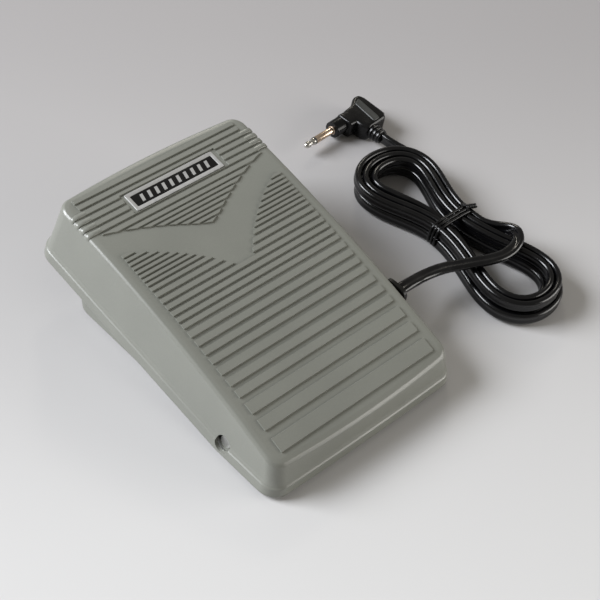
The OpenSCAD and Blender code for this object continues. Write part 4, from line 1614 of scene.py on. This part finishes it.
@dataclass
class Plug:
    """Right-angle jack plug that lies at the cord's far end.

    Its outlines are points of its own plane, with X from the shank into the body.
    """

    at: tuple[float, float, float] = (116.3, 65.0, 5.5)
    turn: float = 3.0
    collar_r: float = 4.05
    collar_l: float = 6.3
    outline: tuple[tuple[float, float], ...] = (
        (10.3, -8.6), (12.2, -12.2), (24.4, -12.2), (26.4, -9.6), (26.7, 3.6), (25.4, 6.9),
        (22.0, 7.1), (16.8, 3.9), (10.3, 3.4),
    )
    strip: tuple[tuple[float, float], ...] = (
        (16.6, -11.0), (21.2, -11.0), (23.0, 4.6), (18.6, 3.2),
    )
    ridges: int = 11
    ridge_x: float = 26.5
    ridge_y: float = 3.4
    ridge_run: float = 12.6
    chamfer: float = 1.0
    thick: float = 10.4
    boot_at: tuple[float, float] = (15.7, -10.5)
    boot_d: float = 8.2
    boot_l: float = 8.0
    boot_ribs: int = 4
    jack_r: float = 1.75
    jack_l: float = 19.0
    smooth: float = 40.0

    def frame(self) -> Matrix:
        """The plug's frame: X from the shank into the body."""
        return Matrix.Translation(self.at) @ Matrix.Rotation(math.radians(self.turn), 4, "Z")

    def build(
        self,
        black: bpy.types.Material,
        plating: tuple[bpy.types.Material, bpy.types.Material],
        ring: bpy.types.Material,
    ) -> list[bpy.types.Object]:
        """Makes the collar, boss, body, boot and shank.

        Args:
            black: the moulded parts' finish.
            plating: the sleeve's finish and the tip's.
            ring: the finish of the insulating ring and of the thumb strip, where its black, lighter
                than the body's, is partly a painted sheen.

        Returns:
            The pieces.
        """
        frame = self.frame()
        made = [self._body(frame, black), self._neck(frame, black), self._boot(frame, black)]
        made.append(self._thumb_strip(frame, ring))
        made += self._shank(frame, plating, ring)
        return made

    def _body(self, frame: Matrix, black: bpy.types.Material) -> bpy.types.Object:
        """The elbow's chamfered body and the grip ridges on its back.

        Args:
            frame: the plug's frame.
            black: the body's finish.

        Returns:
            The body.
        """
        half, chamfer = self.thick / 2, self.chamfer
        # (inset, height, how far the corner there is rounded)
        stations = (
            (3.0, -half, 0.0), (chamfer, -half, 0.7), (0.0, chamfer * 1.3 - half, 0.8),
            (0.0, half - chamfer * 1.6, 0.8), (chamfer, half - 0.4, 0.7), (3.0, half - 0.4, 0.0),
        )
        slab = []
        for inset, z, _ in stations:
            flat = inset_polygon(self.outline, inset, 1.3)
            fall = 0.13 * np.clip((17.0 - flat[:, 0]) / 6.5, 0, 1) if z > 0 else 0.0
            slab.append(place(np.column_stack([flat, z * (1 - fall) * np.ones(len(flat))]), frame))
        skin = Skin()
        skin.loft(rounded(slab, [radius for _, _, radius in stations]))
        profile = [(1.6 - half, 0.1), (1.9 - half, 0.42), (half - 1.6, 0.42), (half - 1.2, 0.1)]
        for i in range(self.ridges):
            y = self.ridge_y - i * self.ridge_run / (self.ridges - 1)
            x = self.ridge_x + 0.02 * y - 0.12
            skin.take(lathe(profile, frame @ upright(x, y, 0), 12))
        body = skin.piece("plug_body_shell", Body.BASE, black, "plug_plastic", self.smooth)
        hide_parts("plug_body")
        return body

    def _thumb_strip(self, frame: Matrix, satin: bpy.types.Material) -> bpy.types.Object:
        """The satin strip, raised across the body's upper face, in a black lighter than the body's:
        a satin finish and partly a painted sheen.

        Args:
            frame: the plug's frame.
            satin: the strip's finish.

        Returns:
            The strip.
        """
        half = self.thick / 2
        # (inset, height, how far the corner there is rounded)
        stations = (
            (0.0, half - 1.2, 0.0), (0.1, half - 0.3, 0.15), (0.45, half, 0.3),
            (1.4, half - 0.12, 0.0),
        )
        strip = []
        for inset, z, _ in stations:
            flat = inset_polygon(self.strip, inset, 0.9)
            strip.append(place(np.column_stack([flat, np.full(len(flat), z)]), frame))
        skin = Skin()
        skin.loft(rounded(strip, [radius for _, _, radius in stations]))
        # painted sheen: the strip takes a black lighter than the body's
        return skin.piece("plug_strip", Body.BASE, satin, "plug_plastic", self.smooth)

    def _neck(self, frame: Matrix, black: bpy.types.Material) -> bpy.types.Object:
        """The round collar and the squared boss that grows into the body.

        Args:
            frame: the plug's frame.
            black: the neck's finish.

        Returns:
            The neck.
        """
        r, end = self.collar_r, self.collar_l
        # (along, its middle's y, half its width, half its height, squareness)
        stations = (
            (0.0, 0.0, r - 0.5, r - 0.5, 2.0),
            (0.15, 0.0, r - 0.12, r - 0.12, 2.0),
            (0.5, 0.0, r, r, 2.0),
            (end - 0.35, 0.0, r, r, 2.0),
            (end - 0.1, 0.0, r + 0.05, r + 0.05, 2.1),
            (end, -1.0, 3.9, 4.0, 4.0),
            (end + 0.2, -1.15, 4.35, 4.45, 4.4),
            (end + 0.6, -1.3, 4.6, 4.7, 4.8),
            (end + 2.5, -1.35, 4.65, 4.55, 5.0),
            (end + 6.0, -1.45, 4.75, 4.35, 5.0),
            (end + 9.0, -1.6, 4.9, 4.4, 5.0),
            (end + 12.0, -1.8, 5.0, 4.7, 5.0),
        )
        rings = []
        for x, middle, half_w, half_h, power in stations:
            flat = superellipse(half_w, half_h, power, 56) + [middle, 0]
            rings.append(place(np.column_stack([np.full(56, x), flat]), frame))
        skin = Skin()
        skin.loft(rings)
        return skin.piece("plug_neck", Body.BASE, black, "plug_plastic", self.smooth)

    def _boot(self, frame: Matrix, black: bpy.types.Material) -> bpy.types.Object:
        """The short ribbed sleeve that the cord leaves from.

        Args:
            frame: the plug's frame.
            black: the sleeve's finish.

        Returns:
            The sleeve.
        """
        x, y = self.boot_at
        along = frame @ Matrix.Translation((x, y, 0)) @ Matrix.Rotation(-math.pi / 2, 4, "Z")
        r, step = self.boot_d / 2, self.boot_l / self.boot_ribs
        profile = [(-4.0, r - 0.6), (-0.3, r - 0.1)]
        for i in range(self.boot_ribs):
            start, out = i * step, r - 0.15 * i
            profile += [
                (start, out - 0.12), (start + 0.2, out), (start + 0.5 * step, out),
                (start + 0.6 * step, out - 0.2), (start + 0.66 * step, r - 0.9),
                (start + step - 0.1, r - 0.95),
            ]
        profile.append((self.boot_l - 0.05, 2.2))
        skin = lathe(profile, along, 40)
        return skin.piece("plug_boot", Body.BASE, black, "plug_plastic", self.smooth)

    def _shank(
        self,
        frame: Matrix,
        plating: tuple[bpy.types.Material, bpy.types.Material],
        ring: bpy.types.Material,
    ) -> list[bpy.types.Object]:
        """Sleeve, insulating ring and tip of the jack.

        Args:
            frame: the plug's frame.
            plating: the sleeve's finish and the tip's.
            ring: the ring's finish.

        Returns:
            The pieces.
        """
        r, end = self.jack_r, -self.jack_l
        sleeve = (
            (end + 6.9, r - 0.12), (end + 7.05, r), (-0.5, r), (-0.3, r + 0.35), (0.1, r + 0.35),
        )
        band = (
            (end + 5.9, r - 0.2), (end + 5.95, r + 0.03), (end + 6.95, r + 0.03),
            (end + 7.0, r - 0.2),
        )
        tip = (
            (end, 0.35), (end + 0.12, 0.72), (end + 0.5, 1.15), (end + 1.4, 1.5),
            (end + 2.4, r - 0.08), (end + 2.8, r - 0.2), (end + 3.4, r - 0.62),
            (end + 3.9, r - 0.66), (end + 4.5, r - 0.4), (end + 5.2, r - 0.02), (end + 5.9, r),
            (end + 6.0, r - 0.1),
        )
        made = []
        for name, profile, finish, slot, node in (
            ("shank_sleeve", sleeve, plating[0], "jack_nickel", "plug_sleeve"),
            ("shank_ring", band, ring, "ring_plastic", "plug_ring"),
            ("shank_tip", tip, plating[1], "jack_nickel", "plug_tip"),
        ):
            piece = lathe(profile, frame).piece(name, Body.BASE, finish, slot, self.smooth)
            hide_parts(node)
            made.append(piece)
        return made


@dataclass
class Gland:
    """The moulded gland that holds the cord in the tray's wall."""

    y: float = -32.0
    z: float = 17.0
    flange_x: float = 53.8
    flange: tuple[float, float, float] = (11.5, 10.0, 2.5)
    wall_x: float = 43.5

    def build(self, rubber: bpy.types.Material) -> bpy.types.Object:
        """Lofts the gland along X, from the clamp to the cord.

        Args:
            rubber: its finish.

        Returns:
            The gland.
        """
        length, height, thick = self.flange
        half_l, half_h = length / 2, height / 2
        wall, x = self.wall_x, self.flange_x
        # (along X, half its length, half its height, squareness)
        stations = (
            (wall - 5.5, 3.55, 1.85, 2.6),
            (wall - 2.0, 3.6, 1.85, 2.6),
            (wall - 1.9, 5.6, 4.4, 4),
            (wall - 0.1, 5.75, 4.5, 4),
            (wall, 4.0, 2.75, 8),
            (x - 0.1, 4.0, 2.75, 8),
            (x, half_l - 0.4, half_h - 0.4, 4),
            (x + 0.3, half_l, half_h, 4),
            (x + thick - 0.5, half_l, half_h, 4),
            (x + thick, half_l - 0.6, half_h - 0.6, 4),
            (x + thick + 0.1, 4.3, 2.8, 3),
            (x + thick + 1.0, 4.1, 2.6, 3),
            (x + thick + 1.05, 3.6, 2.0, 3),
        )
        rings = []
        for along, half_w, half_z, power in stations:
            flat = superellipse(half_w, half_z, power, 40) + [self.y, self.z]
            rings.append(np.column_stack([np.full(40, along), flat]))
        skin = Skin()
        skin.loft(rings)
        gland = skin.piece("gland", Body.BASE, rubber, "gland_rubber", 35.0)
        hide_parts("cord_gland")
        return gland


@dataclass
class WireTie:
    """Black wire tie wound round the hank's waist, with its ends twisted together."""

    at: tuple[float, float] = (113.7, -13.0)
    left: float = 11.15
    right: float = 12.925
    bottom: float = 1.11
    top: float = 13.65
    wire: float = 0.62
    pitch: float = 1.75
    turns: float = 3.0
    twist_l: float = 4.6
    twist_turns: float = 2.6
    twist_way: tuple[float, float, float] = (0.86, -0.42, 0.05)
    sides: int = 10

    def _wound(self, a: float) -> tuple[float, float, float]:
        """A point of the winding, which starts and ends at its top.

        Args:
            a: how many turns along the winding it lies.

        Returns:
            The point.
        """
        cx = self.at[0] + (self.right - self.left) / 2
        cz = (self.top + self.bottom) / 2
        half_w = (self.right + self.left) / 2 + self.wire * 0.8
        half_h = (self.top - self.bottom) / 2 + self.wire * 0.75
        b = 2 * math.pi * (a + 0.17)
        c, s = math.cos(b), math.sin(b)
        x = cx + half_w * math.copysign(abs(c) ** 0.6, c)
        z = cz + half_h * math.copysign(abs(s) ** 0.5, s)
        return x, self.at[1] + (a - self.turns / 2) * self.pitch, z

    def _sweep(self, skin: Skin, line: np.ndarray) -> None:
        """Sweeps the round wire along a line.

        Args:
            skin: the skin that it is added to.
            line: the wire's centre line.
        """
        side = unit(np.cross(tangents(line), [0.13, 0.97, 0.2]))
        skin.loft(swept(line, side, circle(self.wire, self.sides)))

    def build(self, black: bpy.types.Material) -> bpy.types.Object:
        """Winds the wire round the waist and twists its two ends.

        Args:
            black: its finish.

        Returns:
            The tie.
        """
        skin = Skin()
        angles = np.linspace(0, self.turns, round(self.turns * 72))
        line = np.array([self._wound(a) for a in angles])
        self._sweep(skin, line)
        ends = (line[0], line[-1])
        foot = (ends[0] + ends[1]) / 2 + [0, 0, self.wire]
        reach = np.array(self.twist_way)
        reach /= np.linalg.norm(reach)
        across = np.cross(reach, [0, 0, 1.0])
        across /= np.linalg.norm(across)
        over = np.cross(across, reach)
        spread = self.wire * 0.95
        for phase, end in zip((0.0, math.pi), ends):
            points = [end]
            for t in np.linspace(0.0, 1.0, 36):
                a = phase + t * self.twist_turns * 2 * math.pi
                off = spread * (across * math.cos(a) + over * math.sin(a))
                points.append(foot + reach * (0.6 + t * self.twist_l) + off)
            self._sweep(skin, np.array(points))
        tie = skin.piece("wire_tie", Body.BASE, black, "tie_plastic", 60.0)
        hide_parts("cord_tie")
        return tie


# ---------------------------------------------------------------- inside and underneath


@dataclass
class CoilSpring:
    """Wound compression spring with a closed turn at each end.

    Its heights are those of its lower and upper ends, wire included.
    """

    node: str
    at: tuple[float, float]
    radius: float
    wire: float
    turns: float
    low: float
    high: float
    steps_per_turn: int = 40
    sides: int = 10
    smooth: float = 60.0

    def line(self) -> np.ndarray:
        """The wire's centre line: a closed turn, even open turns and a closed turn.

        Returns:
            Its points.
        """
        a = np.linspace(0.0, self.turns, round(self.turns * self.steps_per_turn) + 1)
        closed = self.wire * 1.04
        rise = self.high - self.low - self.wire
        turns = [0.0, 1.0, self.turns - 1.0, self.turns]
        z = np.interp(a, turns, [0.0, closed, rise - closed, rise]) + self.low + self.wire / 2
        x = self.at[0] + self.radius * np.cos(2 * math.pi * a)
        y = self.at[1] + self.radius * np.sin(2 * math.pi * a)
        return np.stack([x, y, z], axis=1)

    def skin(self) -> Skin:
        """The round wire swept along its centre line.

        Returns:
            The skin.
        """
        line = self.line()
        side = line - [self.at[0], self.at[1], 0.0]
        side[:, 2] = 0.0
        made = Skin()
        made.loft(swept(line, unit(side), circle(self.wire / 2, self.sides)))
        return made

    def bending(self, steel: bpy.types.Material) -> bpy.types.Object:
        """Winds the spring as an object of its own, on no body.

        Args:
            steel: its finish.

        Returns:
            The spring.
        """
        obj = self.skin().bare(f"{self.node}_coil")
        obj.data.materials.append(steel)
        shade(obj, self.smooth)
        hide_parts(self.node)
        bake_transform(obj)
        return obj

    def flattening(self, steel: bpy.types.Material) -> bpy.types.Object:
        """Winds the spring on the base, with a mesh of its own.

        Args:
            steel: its finish.

        Returns:
            The spring.
        """
        name = f"{self.node}_coil"
        obj = self.skin().piece(name, Body.BASE, steel, "spring_steel", self.smooth)
        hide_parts(self.node)
        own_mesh(obj)
        return obj


def springs(steel: bpy.types.Material) -> list[bpy.types.Object]:
    """The two return springs and the plunger's spring.

    Args:
        steel: their finish.

    Returns:
        The springs.
    """
    left = CoilSpring("return_spring_left", (-26.0, 31.3), 5.4, 1.1, 6.0, 14.56, 36.4)
    right = CoilSpring("return_spring_right", (26.0, 31.3), 5.4, 1.1, 6.0, 14.56, 36.4)
    small = CoilSpring("plunger_spring", (0.0, 6.3), 3.0, 0.5, 4.0, 8.06, 15.64)
    return [
        left.bending(steel),
        right.bending(steel),
        small.flattening(steel),
    ]


@dataclass
class CarriedNodes:
    """The CAD nodes that show as they are, each with its own finish."""

    finishes: dict[str, Any] = field(default_factory=dict)
    smooth: float = 32.0
    weld: float = 0.002

    def dress(self, nodes: dict[str, bpy.types.Object]) -> None:
        """Puts a finish on every node that is still shown.

        Args:
            nodes: the loaded frame's nodes, by name.
        """
        for name, finish in self.finishes.items():
            node = nodes[name]
            node.data.materials.clear()
            node.data.materials.append(finish.material())
            weld = node.modifiers.new("weld", "WELD")
            weld.merge_threshold = self.weld * MM
            node.data.polygons.foreach_set("use_smooth", [True] * len(node.data.polygons))
            split = node.modifiers.new("edges", "EDGE_SPLIT")
            split.split_angle = math.radians(self.smooth)
            LOG.info("dressed node %s", name)


# ---------------------------------------------------------------- assembly

GREY = MouldedPlastic(
    "grey_moulding", (0.212, 0.216, 0.19), (0.188, 0.192, 0.169), 0.29, Grain.SATIN, 0.011
)
TRAY = MouldedPlastic(
    "tray_moulding", (0.2, 0.204, 0.178), (0.182, 0.186, 0.162), 0.45, Grain.SPARK, 0.012
)
BLACK = MouldedPlastic(
    "black_moulding", (0.024, 0.026, 0.024), (0.034, 0.035, 0.034), 0.42, Grain.SMOOTH, 0.012
)
FIELD = MouldedPlastic(
    "label_black", (0.004, 0.004, 0.004), (0.007, 0.007, 0.007), 0.4, Grain.SPARK, 0.003, 0.25
)
CREAM = MouldedPlastic(
    "cream_moulding", (0.58, 0.53, 0.42), (0.52, 0.47, 0.37), 0.45, Grain.SATIN, 0.01
)
RUBBER = MouldedPlastic(
    "black_rubber", (0.02, 0.02, 0.02), (0.03, 0.03, 0.03), 0.72, Grain.SPARK, 0.02
)
CARBON = MouldedPlastic("carbon_track", (0.05, 0.036, 0.026), (0.03, 0.022, 0.018), 0.5)
NATURAL = MouldedPlastic("natural_moulding", (0.7, 0.66, 0.57), (0.62, 0.58, 0.5), 0.4)
BLUE = MouldedPlastic("sleeve_blue", (0.035, 0.07, 0.2), (0.03, 0.055, 0.16), 0.25)
TAN = MouldedPlastic("lacquer_tan", (0.6, 0.43, 0.25), (0.5, 0.35, 0.2), 0.3)
GREEN = MouldedPlastic("terminal_green", (0.06, 0.26, 0.12), (0.05, 0.21, 0.1), 0.4)
CLAMP = MouldedPlastic("clamp_grey", (0.16, 0.165, 0.16), (0.13, 0.135, 0.13), 0.5)
JACKET = GlossyJacket("cord_jacket")
GLOSS = GlossyJacket(
    "plug_moulding", (0.002, 0.002, 0.0022), (0.006, 0.006, 0.0062), 0.24, 0.005, 0.32
)
GLAND = GlossyJacket("gland_moulding", (0.008, 0.008, 0.007), (0.022, 0.022, 0.02), 0.4, 0.01, 0.3)
SLEEVE = BarePlate(
    "jack_plating", (0.8, 0.64, 0.5), (0.55, 0.4, 0.29), 0.22, (0.05, 1.0, 1.0), 0.0002
)
TIP = BarePlate("tip_plating", (0.66, 0.64, 0.6), (0.42, 0.4, 0.36), 0.22, (0.05, 1.0, 1.0), 0.0002)
SILVER = BarePlate("label_foil", (0.56, 0.56, 0.55), (0.46, 0.46, 0.46), 0.68, (0.05, 1.0, 1.0))
STEEL = BarePlate("zinc_steel", (0.62, 0.63, 0.64), (0.48, 0.48, 0.48), 0.3)
SPRING = BarePlate("spring_wire", (0.5, 0.51, 0.53), (0.36, 0.36, 0.37), 0.28)
PIN = BarePlate("pin_face", (0.52, 0.52, 0.5), (0.4, 0.4, 0.385), 0.42, (1.0, 1.0, 1.0))
WIPER = BarePlate("wiper_strip", (0.78, 0.55, 0.22), (0.6, 0.4, 0.15), 0.25)
BOARD = Board("phenolic_board", (0.34, 0.24, 0.1), (0.27, 0.18, 0.07))
CORE = GlossyJacket("core_jacket", (0.35, 0.03, 0.02), (0.3, 0.05, 0.04), 0.3)


def carried() -> CarriedNodes:
    """The finishes of the nodes that stay.

    Returns:
        The nodes, each with its finish.
    """
    return CarriedNodes(
        {
            "base_tray": TRAY,
            "hinge_pins": PIN,
            "stop_washers": RUBBER,
            "limit_screws": STEEL,
            "circuit_board": BOARD,
            "board_screws": STEEL,
            "control_case": BLACK,
            "control_lid": CREAM,
            "resistor_strip": CARBON,
            "plunger": NATURAL,
            "wiper": WIPER,
            "capacitor": BLUE,
            "resistors": TAN,
            "terminal_block": GREEN,
            "lead_wires": CORE,
            "cord_clamp": CLAMP,
            "clamp_screws": STEEL,
            "rubber_feet": RUBBER,
        }
    )


def main() -> None:
    """Loads the frame, dresses every sub-assembly and lights the table."""
    logging.basicConfig(level=logging.INFO, format="%(name)s: %(message)s")
    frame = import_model()
    Camera().build()
    cord = FlatCord()
    cord_piece = cord.build(JACKET.material())
    gloss = GLOSS.material()
    plug = Plug().build(gloss, (SLEEVE.material(), TIP.material()), BLACK.material())
    gland = Gland().build(GLAND.material())
    tie = WireTie().build(GLOSS.material())
    cord.declare()
    cover = TreadleCover()
    grey = GREY.material()
    pieces = [cover.shell(grey), cover.ribs(grey), cover.lobes(grey), *cover.inside(grey)]
    pieces += cover.label(SILVER.material(), FIELD.material())
    pieces += springs(SPRING.material())
    carried().dress(frame["nodes"])
    for piece in [cord_piece, *plug, gland, tie, *pieces]:
        LOG.info("built %s, %d faces", piece.name, len(piece.data.polygons))
    Studio().build()


if __name__ == "__main__":
    main()
